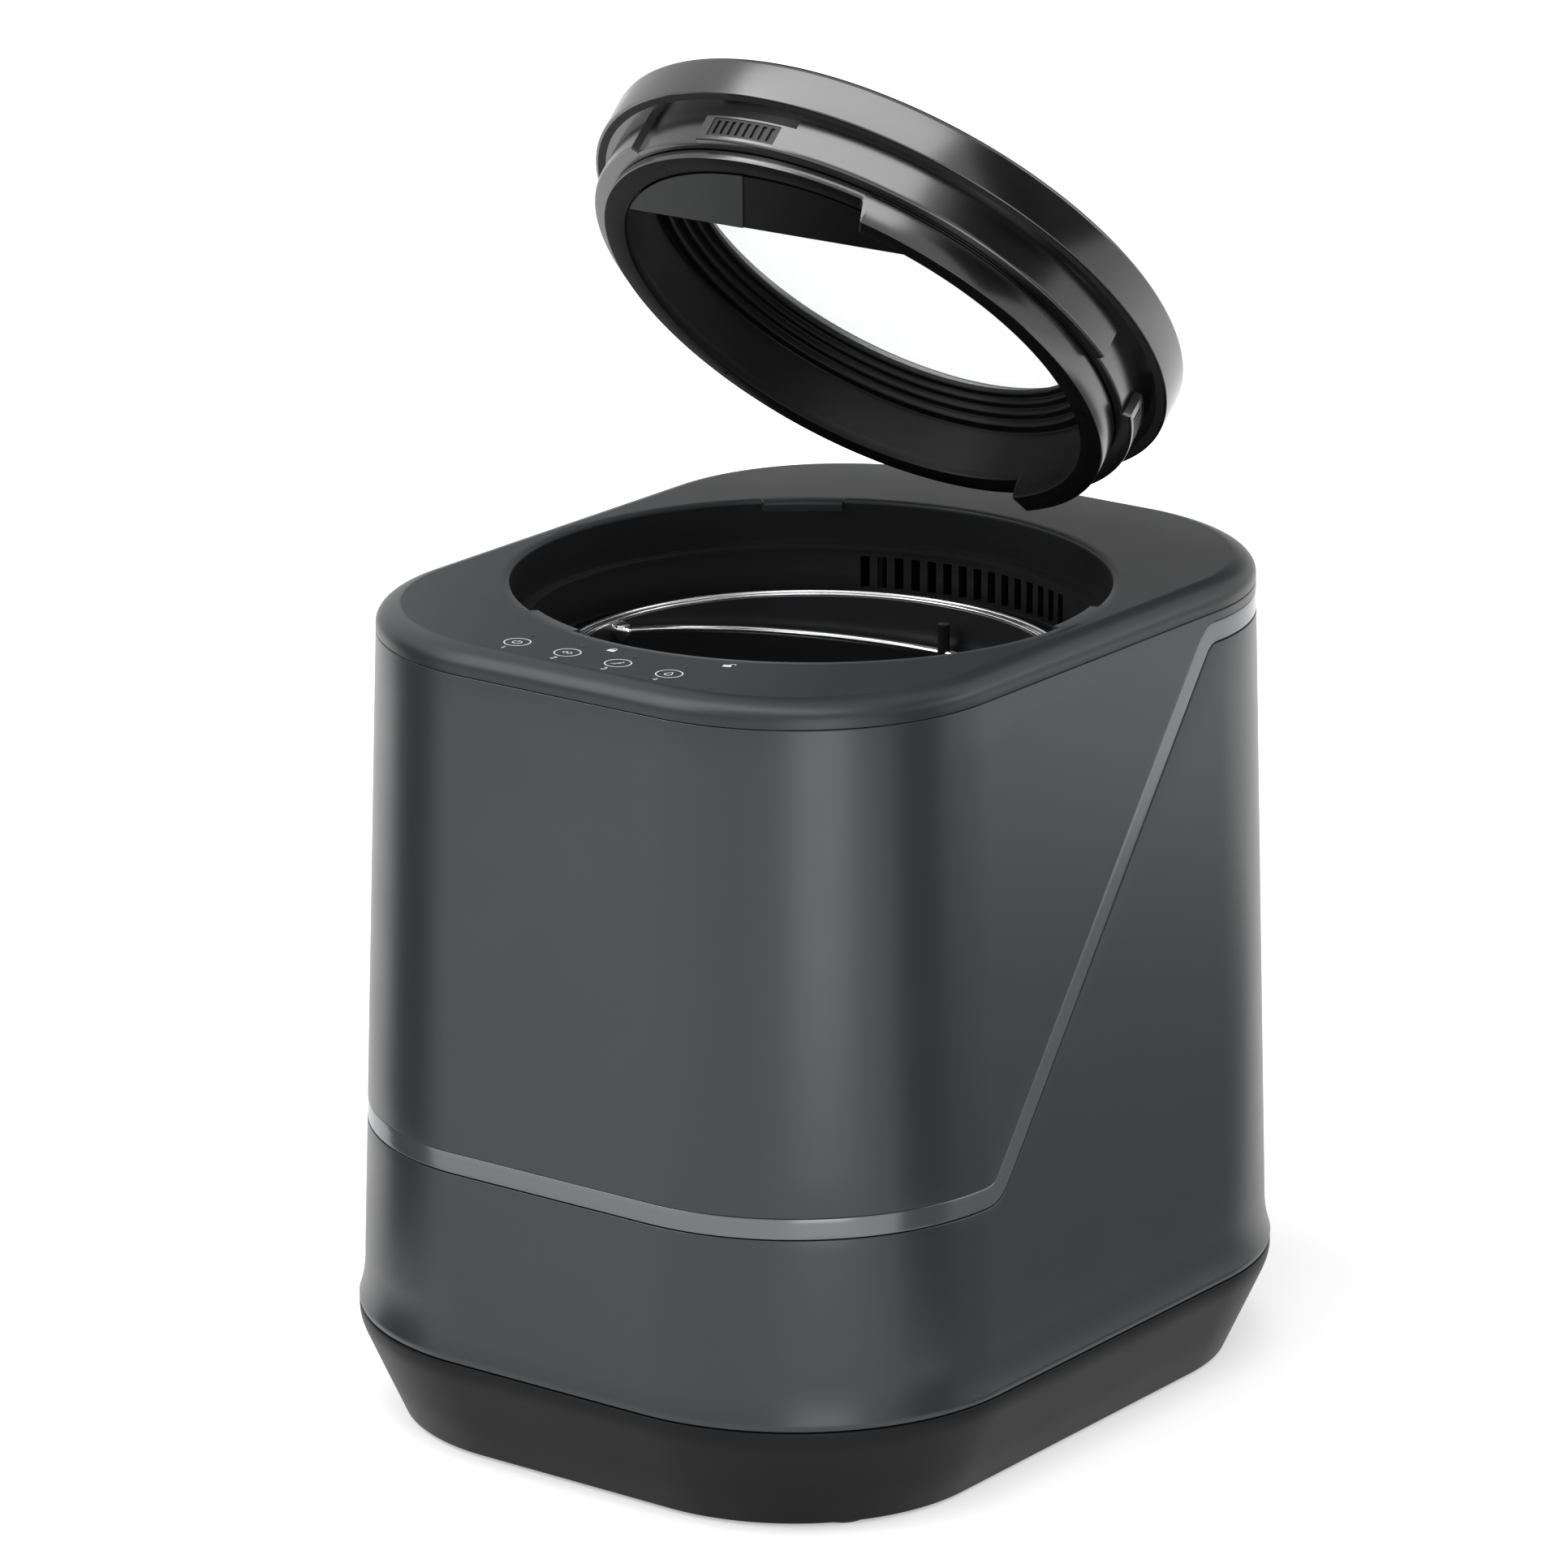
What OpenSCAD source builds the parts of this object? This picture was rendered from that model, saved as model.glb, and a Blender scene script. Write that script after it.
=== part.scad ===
// Electric food waste composter for a kitchen worktop.
// Millimetres, +Z up. The origin is on the floor under the middle of the casing.
// The front, with its touch panel, faces -Y. The lid is drawn tipped open.

/* [Casing] */
// Radius of the round opening in the deck
opening_r = 115; // [112:0.5:120]
// Deck on either side of the opening
side_margin = 16; // [13:0.5:22]
// Deck in front of the opening
front_margin = 42.5; // [40:0.5:50]
// Deck behind the opening
rear_margin = 54.5; // [52:0.5:62]
// Height of the deck above the floor
casing_h = 323; // [315:1:333]
// Plan radius of the casing's corners at the seam under the deck
corner_r = 86; // [78:1:90]
// How far the casing grows outwards on its way down to the base
flare = 7.4; // [6:0.2:9]
// How far the casing swells just above the base
swell = 2.6; // [2:0.2:3.4]
// Wall of the plastic shells
wall = 2.6; // [2:0.1:3.2]

/* [Deck] */
// Height of the deck cover's edge above its seam
deck_edge_h = 10; // [9:0.5:12]
// Radius of the deck cover's rounded edge
deck_round = 7.5; // [5:0.5:8]
// Distance of the touch marks from the front edge of the deck
panel_inset = 21.2; // [19:0.2:24]

/* [Trim band] */
// Width of the trim band that parts the two shells
trim_w = 8.6; // [6:0.2:10]
// Height of the band's middle across the front
trim_front_z = 122.8; // [119:0.2:127]
// Drop of the band's middle across the back, below the seam under the deck
trim_rear_drop = 8; // [7:0.5:12]
// Height where the slanted band crosses the middle of the side
trim_side_z = 216; // [211:1:221]
// Slope of the band on the sides, above level
trim_slope = 51.7; // [50:0.1:54]

/* [Base] */
// Height of the dark base under the casing
base_h = 44.4; // [42:0.2:47]
// How far the base draws in on its way to the floor
base_inset = 17; // [14:0.2:19]
// Radius of a rubber foot
foot_r = 11; // [9:0.5:12]
// Height of a rubber foot under the base
foot_h = 1.3; // [1.2:0.1:2]

/* [Well] */
// Depth of the ledge below the deck
ledge_depth = 17.6; // [17:0.1:18.4]
// Width of the ledge
ledge_w = 5; // [4:0.5:6]
// Number of air slots at the back of the well
slot_count = 15; // [9:2:17]

/* [Bucket] */
// Gap from the wall of the well to the bucket's rim
rim_gap = 10; // [8:0.5:12]
// Gap from the bucket's rim to the wall of the chamber, seen from above
chamber_gap = 3; // [2.5:0.5:4]
// How much narrower the bucket is at the foot of its wall
bucket_taper = 10; // [8:0.5:14]
// Depth of the rim below the deck
rim_depth = 32.4; // [31.6:0.2:34]
// Wall of the bucket
bucket_wall = 1.6; // [1.2:0.1:2]

/* [Lid] */
// How far the lid's rim reaches over the opening's edge
lid_overhang = 7; // [5:0.5:9]
// Height of the lid's rim
lid_rim_h = 17.8; // [16:0.2:19]
// Gap between the lid's locking band and the opening
band_gap = 1.6; // [1.4:0.1:2]
// Width of the ring that holds the clear window
window_land = 10; // [8:0.5:14]
// Angle at which the lid is drawn tipped open
lid_open = 47; // [40:1:50]
// Turn that frees or locks the lid
lock_turn = 22; // [21:0.5:23]

/* [Drive] */
// Teeth on the large gear
gear_teeth = 48; // [48:1:48]
// Teeth on the motor's pinion
pinion_teeth = 10; // [10:1:10]
// Gear module, the pitch diameter in each tooth
gear_module = 2.5; // [2.5:0.1:2.5]

/* [Filter drawer] */
// Width of the filter drawer's front
drawer_w = 116; // [100:1:118]
// Height of the filter drawer's front
drawer_h = 42; // [36:0.5:44]

/* [Hidden] */
$fn = 96;
eps = 0.02;

casing_w = 2 * (opening_r + side_margin);
casing_d = 2 * opening_r + front_margin + rear_margin;
corner_x = casing_w / 2 - corner_r;
corner_y = casing_d / 2 - corner_r;
seam_z = casing_h - deck_edge_h;
shell_z0 = base_h;
shell_r0 = corner_r + flare;
lip_r = shell_r0 + swell;
base_r = lip_r - 0.1;
foot_z = foot_h;
floor_r = base_r - base_inset;
axis_y = (front_margin - rear_margin) / 2;
well_r = opening_r - ledge_w;
rim_r = well_r - rim_gap;
chamber_r = rim_r + chamber_gap;
bucket_foot_r = rim_r - bucket_taper;
blade_r = bucket_foot_r - 16;
lid_r = opening_r + lid_overhang;
panel_y = panel_inset - casing_d / 2;
button_pitch = 23.6;
ledge_z = casing_h - ledge_depth;
well_wall = 2.4;
chamber_top_z = casing_h - 54;
trim_rear_z = seam_z - trim_rear_drop;
rim_z = casing_h - rim_depth;
gear_r = gear_module * gear_teeth / 2;
pinion_r = gear_module * pinion_teeth / 2;
motor_y = axis_y - gear_r - pinion_r;
case_z0 = 54;
gear_z = 60;
gear_t = 10;
case_z1 = 76;
hub_z = 89;
plate_z = 112;
sensor_z = plate_z + 26;
bucket_z = plate_z + 0.2;
seat_gap = 0.3;
band_r = opening_r - band_gap;
band_h = ledge_depth - 1.4;
band_in = band_r - 4.4;
pad_floor_r = band_r - 3;
pad_seat_r = band_r - 3.4;
skirt_r = well_r - 3;
skirt_in = skirt_r - 9;
window_r = skirt_in - window_land;
block_chord = skirt_in - 37.5;
skirt_drop = 29.2;
skirt_shallow = 20.4;
pole_y = axis_y + lid_r + 21;
pole_z = casing_h + 3;
seal_r = lid_r - 2.5;
lug_in = opening_r - 3.2;
lug_half = 8;
lug_first = -112;
bay_x = drawer_w + 0.8;
bay_zh = drawer_h + 0.8;
bay_z = 80;
drawer_len = 96;
drawer_y1 = corner_y + shell_r0 - 1.6;
bay_y0 = drawer_y1 - drawer_len - 6.3;
fan_z = 202;
board_x = 9.2 - corner_x - floor_r;
board_y = -58;
board_len = 112;
duct_y = axis_y + well_r + 14;
duct_z0 = bay_z + bay_zh / 2 + 2;
duct_z1 = ledge_z - 2.4;
duct_w = 88;
fan_size = duct_w - 8;
fan_hole_r = fan_size / 2 - 2.5;
duct_d = 38;

// Moves its children out to the drive's axis.
module on_axis(z = 0) translate([0, axis_y, z]) children();

// A ring with a square section.
module ring(r_out, r_in, z0, z1) {
    translate([0, 0, z0])
        rotate_extrude()
            translate([r_in, 0])
                square([r_out - r_in, z1 - z0]);
}

// A sector of a ring between two angles.
module sector(r_out, r_in, z0, z1, from, to) {
    translate([0, 0, z0])
        rotate([0, 0, from])
            rotate_extrude(angle = to - from)
                translate([r_in, 0])
                    square([r_out - r_in, z1 - z0]);
}

// The casing's plan is a rectangle with large round corners. A wall of any
// section, given as [radius from the corner's centre, height], runs round it.
module plan_wall(section) {
    for (i = [0:3])
        translate([(i == 0 || i == 3 ? 1 : -1) * corner_x, (i < 2 ? 1 : -1) * corner_y, 0])
            rotate([0, 0, 90 * i])
                rotate_extrude(angle = 90)
                    polygon(section);
    for (side = [0, 180]) {
        rotate([0, 0, side])
            translate([corner_x, 0, 0])
                rotate([90, 0, 0])
                    linear_extrude(2 * corner_y, center = true)
                        polygon(section);
        rotate([0, 0, side])
            translate([0, corner_y, 0])
                rotate([90, 0, 90])
                    linear_extrude(2 * corner_x, center = true)
                        polygon(section);
    }
}

// A flat slab with the same plan.
module plan_slab(r, z0, z1) {
    translate([0, 0, z0])
        linear_extrude(z1 - z0)
            union() {
                for (sx = [-1, 1], sy = [-1, 1])
                    translate([sx * corner_x, sy * corner_y])
                        circle(r);
                square([2 * corner_x, 2 * (corner_y + r)], center = true);
                square([2 * (corner_x + r), 2 * corner_y], center = true);
            }
}

// Outer line of the shells, from the base seam up to the deck seam.
shell_line = [
    [base_r - 0.5, shell_z0],
    [base_r, shell_z0 + 0.6],
    [lip_r, shell_z0 + 2.4],
    [lip_r - 0.3, shell_z0 + 4],
    [shell_r0 + 1.4, shell_z0 + 6.6],
    [shell_r0 + 0.6, shell_z0 + 12],
    [shell_r0 + 0.1, shell_z0 + 17],
    [shell_r0, shell_z0 + 21],
    [corner_r, seam_z - 0.6],
    [corner_r - 0.5, seam_z]
];

function shell_r(z) = let(low = shell_z0 + 21)
    shell_r0 - flare * (z - low) / (seam_z - 0.6 - low);

// Section of a shell wall, set in from that line.
function wall_section(inset, thick) = concat(
    [for (p = shell_line) [p[0] - inset, p[1]]],
    [for (i = [len(shell_line) - 1:-1:0]) [shell_line[i][0] - inset - thick, shell_line[i][1]]]
);

// Side view of the band: level at the front, a slant, level at the back.
function slant_y(z, off) = (z - trim_side_z) / tan(trim_slope) - off / sin(trim_slope);

function band_line(off) = let(
        r1 = 12 - off,
        r2 = 12 + off,
        run1 = r1 * tan(trim_slope / 2),
        run2 = r2 * tan(trim_slope / 2),
        y1 = slant_y(trim_front_z + off, off),
        y2 = slant_y(trim_rear_z + off, off)
    ) concat(
        [[-casing_d, trim_front_z + off]],
        [for (i = [0:6]) let(t = trim_slope * i / 6)
            [y1 - run1 + r1 * sin(t), trim_front_z + off + r1 - r1 * cos(t)]],
        [for (i = [6:-1:0]) let(t = trim_slope * i / 6)
            [y2 + run2 - r2 * sin(t), trim_rear_z + off - r2 + r2 * cos(t)]],
        [[casing_d, trim_rear_z + off]]
    );

// Everything above, or below, a line of the side view, as a bar along X.
module side_bar(points) {
    rotate([90, 0, 90])
        linear_extrude(2 * casing_w, center = true)
            polygon(points);
}
module above_band(off) side_bar(concat(band_line(off), [[casing_d, 2 * casing_h], [-casing_d, 2 * casing_h]]));
module below_band(off) side_bar(concat(band_line(off), [[casing_d, 0], [-casing_d, 0]]));
module in_band(off) {
    side_bar(concat(band_line(-off), [for (i = [15:-1:0]) band_line(off)[i]]));
}

// Sets its children on the lid as it is drawn: closed, then tipped open
// about a line at the level of the deck, behind the opening.
module tipped() {
    translate([0, pole_y, pole_z])
        rotate([-lid_open, 0, 0])
            translate([0, axis_y - pole_y, casing_h + seat_gap - pole_z])
                children();
}

// A gear as one flat outline of straight-sided teeth.
function gear_outline(teeth, root, tip, w_root, w_tip) = [
    for (i = [0:teeth - 1])
        for (p = [[root, -w_root], [tip, -w_tip], [tip, w_tip], [root, w_root]])
            let(a = (i + p[1]) * 360 / teeth) [p[0] * cos(a), p[0] * sin(a)]
];

// A countersunk screw with its head up.
module screw(head_r, shank_r, len) {
    translate([0, 0, -len]) cylinder(h = len, r = shank_r, $fn = 24);
    translate([0, 0, -1.6]) cylinder(h = 1.6, r = head_r, $fn = 32);
}

// The base

module base_skirt() color([0.19, 0.19, 0.20]) {
    plan_wall([
        [floor_r, foot_z], [base_r - 1.4, base_h - 8.4], [base_r - 0.6, base_h - 6.4],
        [base_r - 0.1, base_h - 4.2], [base_r, base_h - 0.4], [base_r - wall - 0.4, base_h - 0.4],
        [base_r - wall - 0.4, base_h], [base_r - 9, base_h], [base_r - 9, base_h - 3],
        [base_r - 4, base_h - 3], [base_r - 4.6, base_h - 8.4], [floor_r - 3, foot_z]
    ]);
}

module post(x, y, z0, z1, r) translate([x, y, z0]) cylinder(h = z1 - z0, r = r);

module bottom_plate() color([0.14, 0.14, 0.15]) {
    difference() {
        union() {
            plan_slab(floor_r - 3, foot_z, foot_z + 3);
            for (a = [45:90:315])
                on_axis()
                    post((gear_r - 6) * cos(a), (gear_r - 6) * sin(a), foot_z + 2, case_z0, 6);
            post(0, motor_y, foot_z + 2, foot_z + 5, 16);
        }
        for (sx = [-1, 1], sy = [-1, 1])
            translate([sx * (corner_x + 25), sy * (corner_y + 60.5), 0]) {
                cylinder(h = 20, r = 1.9);
                cylinder(h = foot_z + 0.6, r = 3.6);
            }
    }
}

module rubber_feet() color([0.08, 0.08, 0.08]) {
    for (sx = [-1, 1], sy = [-1, 1])
        translate([sx * (corner_x + floor_r * 0.66), sy * (corner_y + floor_r * 0.52), 0]) {
            cylinder(h = 0.8, r1 = foot_r - 0.8, r2 = foot_r);
            translate([0, 0, 0.8]) cylinder(h = foot_z - 0.8, r = foot_r);
        }
}

module bottom_screws() color([0.55, 0.55, 0.56]) {
    for (sx = [-1, 1], sy = [-1, 1])
        translate([sx * (corner_x + 25), sy * (corner_y + 60.5), foot_z - 1])
            mirror([0, 0, 1])
                screw(3.4, 1.85, 10);
}

// The casing

module drawer_hole(extra) {
    translate([0, drawer_y1, bay_z])
        cube([drawer_w + 2 * extra, 60, drawer_h + 2 * extra], center = true);
}

// The inlet sits in the flat of the back, above the filter drawer.
inlet_z = 126;
module at_inlet() {
    translate([-26, corner_y + shell_r(inlet_z), inlet_z])
        children();
}

module front_shell() color([0.245, 0.25, 0.255]) {
    intersection() {
        plan_wall(wall_section(0, wall));
        above_band(trim_w / 2 + 0.1);
    }
}

module rear_shell() color([0.235, 0.24, 0.245]) {
    difference() {
        intersection() {
            plan_wall(wall_section(0, wall));
            below_band(-trim_w / 2 - 0.1);
        }
        drawer_hole(0.5);
        at_inlet() cube([26, 20, 19], center = true);
    }
}

module trim_band() color([0.38, 0.385, 0.39]) {
    intersection() {
        plan_wall(wall_section(0.1, wall));
        in_band(trim_w / 2 - 0.05);
    }
}

module at_lugs() for (i = [0:2]) rotate([0, 0, lug_first + 120 * i]) children();

module deck_cover() color([0.22, 0.225, 0.23]) {
    top = casing_h;
    edge = corner_r;
    arc = [for (i = [0:6]) let(t = 15 * i)
        [edge - deck_round + deck_round * cos(t), top - deck_round + deck_round * sin(t)]];
    difference() {
        union() {
            plan_wall(concat(
                [[edge - 0.5, seam_z], [edge, seam_z + 0.6]], arc,
                [[edge - 14, top], [edge - 14, top - 3], [edge - deck_round, top - 3],
                 [edge - 3, top - deck_round], [edge - 3, seam_z]]
            ));
            plan_slab(edge - 13, top - 3, top);
            on_axis() ring(opening_r + 2.4, opening_r - 2, ledge_z, top - 1);
        }
        on_axis(seam_z - 40) cylinder(h = 80, r = opening_r, $fn = 180);
        for (i = [0:3])
            translate([24 * i - 36, panel_y + 10, top - 5])
                cylinder(h = 10, r = 1, $fn = 24);
    }
    on_axis()
        at_lugs()
            sector(opening_r + 1, lug_in, top - 4, top - 0.1, -lug_half, lug_half);
}

module panel_marks() color([0.75, 0.76, 0.76]) {
    for (i = [0:3])
        translate([button_pitch * i - 35, panel_y, casing_h])
            ring(5.2, 4.7, 0, 0.12);
    for (p = [[0, 0], [22, 1]])
        on_axis(casing_h)
            rotate([0, 0, p[0]])
                translate([0, -opening_r - 9.5, 0]) {
                    translate([-1.6, -1.2, 0]) cube([3.2, 2.4, 0.12]);
                    translate([p[1] * 1.8, 1.6, 0]) ring(1.3, 0.9, 0, 0.12);
                }
}

module indicator_lights() color([0.80, 0.80, 0.78]) {
    for (i = [0:3])
        translate([24 * i - 36, panel_y + 10, casing_h - 3.2])
            cylinder(h = 3.25, r = 0.95, $fn = 24);
}

module touch_board() color([0.10, 0.26, 0.16]) {
    difference() {
        translate([-52, panel_y - 12.7, casing_h - 4.8]) cube([104, 27, 1.6]);
        for (sx = [-1, 1])
            translate([sx * 47, panel_y - 8.7, casing_h - 6]) cylinder(h = 4, r = 1.5);
    }
    for (i = [0:3])
        translate([button_pitch * i - 35, panel_y, casing_h - 3.3])
            cylinder(h = 0.3, r = 5);
}

// The well and the chamber round the bucket

module well_liner() color([0.07, 0.07, 0.075]) {
    slot_pitch = 3.6;
    slot_h = 13;
    difference() {
        on_axis() {
            ring(opening_r + 2.4, well_r, ledge_z - 2.4, ledge_z);
            ring(well_r + well_wall, well_r, chamber_top_z, ledge_z - 1);
            ring(well_r + well_wall, chamber_r, chamber_top_z, chamber_top_z + 2.4);
            ring(well_r + 1, well_r - 0.8, ledge_z - 1.2, ledge_z);
            ring(well_r + 0.6, well_r - 0.6, rim_z - 4, rim_z - 3);
        }
        for (i = [0:slot_count - 1])
            on_axis(ledge_z - 3.6 - slot_h)
                rotate([0, 0, 90 + (i - (slot_count - 1) / 2) * slot_pitch])
                    translate([well_r - 4, -1.9, 0])
                        cube([10, 3.8, slot_h]);
    }
}

module chamber() color([0.45, 0.45, 0.46]) {
    difference() {
        on_axis() {
            ring(chamber_r + 2, chamber_r, plate_z - 8, chamber_top_z);
            ring(chamber_r + 8, chamber_r, chamber_top_z - 2, chamber_top_z);
            ring(chamber_r + 1, 21, plate_z - 8, plate_z - 5.6);
            ring(23, 21, plate_z - 10, plate_z - 5.6);
        }
        on_axis(sensor_z)
            rotate([0, 0, 200])
                translate([chamber_r, 0, 0])
                    rotate([0, 90, 0])
                        cylinder(h = 20, r = 4, center = true);
    }
}

module heater_plate() color([0.62, 0.62, 0.60]) {
    on_axis() ring(chamber_r - 11, 23.2, plate_z - 5.6, plate_z);
}

module temperature_sensor() color([0.70, 0.68, 0.60]) {
    on_axis(sensor_z)
        rotate([0, 0, 200])
            translate([chamber_r - 1.5, 0, 0])
                rotate([0, 90, 0]) {
                    cylinder(h = 14, r = 3.95);
                    translate([0, 0, 3.5]) cylinder(h = 3, r = 7);
                }
}

module insulation_sleeve() color([0.80, 0.80, 0.77]) {
    difference() {
        on_axis() ring(chamber_r + 7, chamber_r + 2, plate_z - 4, chamber_top_z - 2);
        on_axis(sensor_z)
            rotate([0, 0, 200])
                translate([chamber_r + 8, 0, 0])
                    rotate([0, 90, 0])
                        cylinder(h = 30, r = 7.4, center = true);
    }
}

// The drive

module case_plan(grow) {
    union() {
        translate([0, axis_y]) circle(gear_r + 5 + grow);
        translate([0, motor_y]) circle(pinion_r + 5 + grow);
        translate([-pinion_r - 5 - grow, motor_y])
            square([2 * (pinion_r + 5 + grow), gear_r + pinion_r]);
    }
}

module case_bosses(z0, z1, r) {
    for (a = [45:90:315])
        on_axis()
            post((gear_r + 9) * cos(a), (gear_r + 9) * sin(a), z0, z1, r);
}

module gearbox_case() color([0.30, 0.31, 0.33]) {
    difference() {
        union() {
            translate([0, 0, case_z0]) linear_extrude(case_z1 - case_z0) case_plan(3);
            case_bosses(case_z0, case_z1, 5);
        }
        translate([0, 0, case_z0 + 3]) linear_extrude(40) case_plan(0);
        on_axis(case_z0 - 1) cylinder(h = 10, r = 11);
        translate([0, motor_y, case_z0 - 1]) cylinder(h = 10, r = 6);
        case_bosses(case_z0 + 6, case_z1 + 2, 1.9);
    }
}

module gearbox_cover() color([0.33, 0.34, 0.36]) {
    difference() {
        union() {
            translate([0, 0, case_z1]) linear_extrude(3) case_plan(3);
            case_bosses(case_z1, case_z1 + 3, 5);
            on_axis() ring(17, 11, case_z1, case_z1 + 9);
        }
        on_axis(case_z1 - 1) cylinder(h = 20, r = 11);
        case_bosses(case_z1 - 2, case_z1 + 8, 2.1);
    }
}

module gearbox_screws() color([0.60, 0.60, 0.61]) {
    case_bosses(case_z1 + 3, case_z1 + 5.4, 3.6);
    case_bosses(case_z0 + 7, case_z1 + 3, 1.85);
}

module lower_bearing() color([0.66, 0.66, 0.68]) on_axis() ring(11, 6.05, case_z0, case_z0 + 5);

module upper_bearing() color([0.66, 0.66, 0.68]) on_axis() ring(11, 6.05, case_z1 + 1, case_z1 + 8);

module drive_gear() color([0.85, 0.83, 0.78]) {
    difference() {
        on_axis(gear_z)
            linear_extrude(gear_t)
                polygon(gear_outline(gear_teeth, gear_r - 3, gear_r + 1.7, 0.27, 0.11));
        on_axis(gear_z - 1) cylinder(h = 20, r = 6);
        for (a = [0:60:300])
            on_axis(gear_z - 1)
                rotate([0, 0, a])
                    translate([34, 0, 0])
                        cylinder(h = 20, r = 11);
    }
}

module drive_shaft() color([0.60, 0.61, 0.63]) {
    on_axis(case_z0 - 2) cylinder(h = hub_z + 3 - case_z0 + 2, r = 6);
}

// Three dogs, spaced evenly round the axis, that fill less than half a turn.
module dogs(z0, z1, first) {
    for (i = [0:2])
        on_axis() sector(16, 8.5, z0, z1, first + 120 * i - 19, first + 120 * i + 19);
}

module drive_coupling() color([0.13, 0.13, 0.14]) {
    difference() {
        on_axis(hub_z) cylinder(h = 7, r = 17);
        on_axis(hub_z - 1) cylinder(h = 4, r = 6);
    }
    dogs(hub_z + 6, hub_z + 13, 0);
}

module motor_can() color([0.55, 0.55, 0.57]) {
    translate([0, motor_y, 0]) {
        translate([0, 0, foot_z + 5]) cylinder(h = case_z0 - foot_z - 5, r = 21);
        for (a = [30:60:330])
            rotate([0, 0, a])
                translate([21, 0, 14])
                    cylinder(h = 30, r = 0.8, $fn = 16);
    }
}

module motor_pinion() color([0.78, 0.70, 0.45]) {
    translate([0, motor_y, gear_z - 1])
        rotate([0, 0, 90 + 180 / pinion_teeth])
            linear_extrude(gear_t + 2)
                polygon(gear_outline(pinion_teeth, pinion_r - 2.9, pinion_r + 1.6, 0.24, 0.08));
    translate([0, motor_y, case_z0 + 0.3]) cylinder(h = gear_z + gear_t - case_z0, r = 4);
}

// Electrics

module power_board() color([0.12, 0.30, 0.18]) {
    translate([board_x, board_y, foot_z + 11]) {
        cube([42, board_len, 1.6]);
        translate([6, 8, 1.6]) cube([24, 30, 20]);
        translate([12, 60, 1.6]) cylinder(h = 24, r = 8);
        translate([22, 82, 1.6]) cube([12, 22, 14]);
    }
}

module board_standoffs() color([0.80, 0.79, 0.74]) {
    for (x = [5, 37], y = [5, board_len - 5])
        post(board_x + x, board_y + y, foot_z + 3, foot_z + 11, 3);
}

module mains_inlet() color([0.05, 0.05, 0.055]) {
    at_inlet()
        difference() {
            union() {
                translate([0, -7, 0]) cube([25.4, 16, 18.4], center = true);
                translate([0, 1.2, 0]) cube([30, 1.6, 23], center = true);
            }
            translate([0, 0, 0])
                rotate([90, 0, 0])
                    linear_extrude(26, center = true)
                        union() {
                            translate([-4, 0]) circle(4.4);
                            translate([4, 0]) circle(4.4);
                            square([8, 8.8], center = true);
                        }
        }
    at_inlet() {
        translate([0, -13.8, 0]) cube([20, 2.4, 14], center = true);
        for (s = [-1, 1])
            translate([4.3 * s, -7, 0])
                rotate([90, 0, 0])
                    cylinder(h = 14, r = 1.2, center = true);
    }
}

// Air path: slots, duct, fan, then the filter drawer.

module air_duct() color([0.16, 0.16, 0.17]) {
    difference() {
        union() {
            translate([-duct_w / 2, duct_y - 2, duct_z0])
                cube([duct_w, duct_d, duct_z1 - duct_z0]);
            translate([-duct_w / 2, axis_y + well_r - 18, duct_z1 - 22])
                cube([duct_w, duct_y - axis_y - well_r + 18, 22]);
        }
        translate([-duct_w / 2 + 2, duct_y, duct_z0 - 4])
            cube([duct_w - 4, duct_d - 4, duct_z1 - duct_z0 + 2]);
        translate([-duct_w / 2 + 2, axis_y + well_r - 30, duct_z1 - 20])
            cube([duct_w - 4, duct_y - axis_y - well_r + 40, 18]);
        on_axis(fan_z) cylinder(h = 140, r = well_r + well_wall + 0.1);
    }
    translate([-duct_w / 2 + 1, duct_y - 1, fan_z - fan_size / 2 - 2]) cube([duct_w - 2, 26, 2]);
    translate([-duct_w / 2 + 1, duct_y + 25, fan_z + fan_size / 2]) cube([duct_w - 2, duct_d - 28, 2]);
}

module fan_frame() color([0.06, 0.06, 0.065]) {
    translate([0, duct_y + 15, fan_z]) {
        difference() {
            cube([fan_size, 20, fan_size], center = true);
            rotate([90, 0, 0]) cylinder(h = 40, r = fan_hole_r, center = true);
            for (sx = [-1, 1], sz = [-1, 1])
                translate([sx * (fan_size / 2 - 4), 0, sz * (fan_size / 2 - 4)])
                    rotate([90, 0, 0])
                        cylinder(h = 40, r = 2.1, center = true);
        }
        translate([0, 8, 0]) {
            rotate([90, 0, 0]) cylinder(h = 4, r = 14, center = true);
            for (a = [0:90:270])
                rotate([0, a, 0])
                    translate([13, -1.6, -2])
                        cube([fan_hole_r - 11.5, 3.2, 4]);
        }
    }
}

module fan_rotor() color([0.12, 0.12, 0.13]) {
    translate([0, duct_y + 12, fan_z]) {
        rotate([90, 0, 0]) cylinder(h = 12, r = 15, center = true);
        rotate([-90, 0, 0]) cylinder(h = 8.8, r = 2);
        for (i = [0:6])
            rotate([0, i * 360 / 7, 0])
                translate([14, 0, 0])
                    rotate([40, 0, 0])
                        translate([0, -0.7, -7])
                            cube([fan_hole_r - 16, 1.4, 14]);
    }
}

module fan_screws() color([0.60, 0.60, 0.61]) {
    for (sx = [-1, 1], sz = [-1, 1])
        translate([sx * (fan_size / 2 - 4), duct_y + 3.8, fan_z + sz * (fan_size / 2 - 4)])
            rotate([-90, 0, 0]) {
                cylinder(h = 22, r = 2.05);
                cylinder(h = 1.2, r = 3.4);
            }
}

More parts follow.
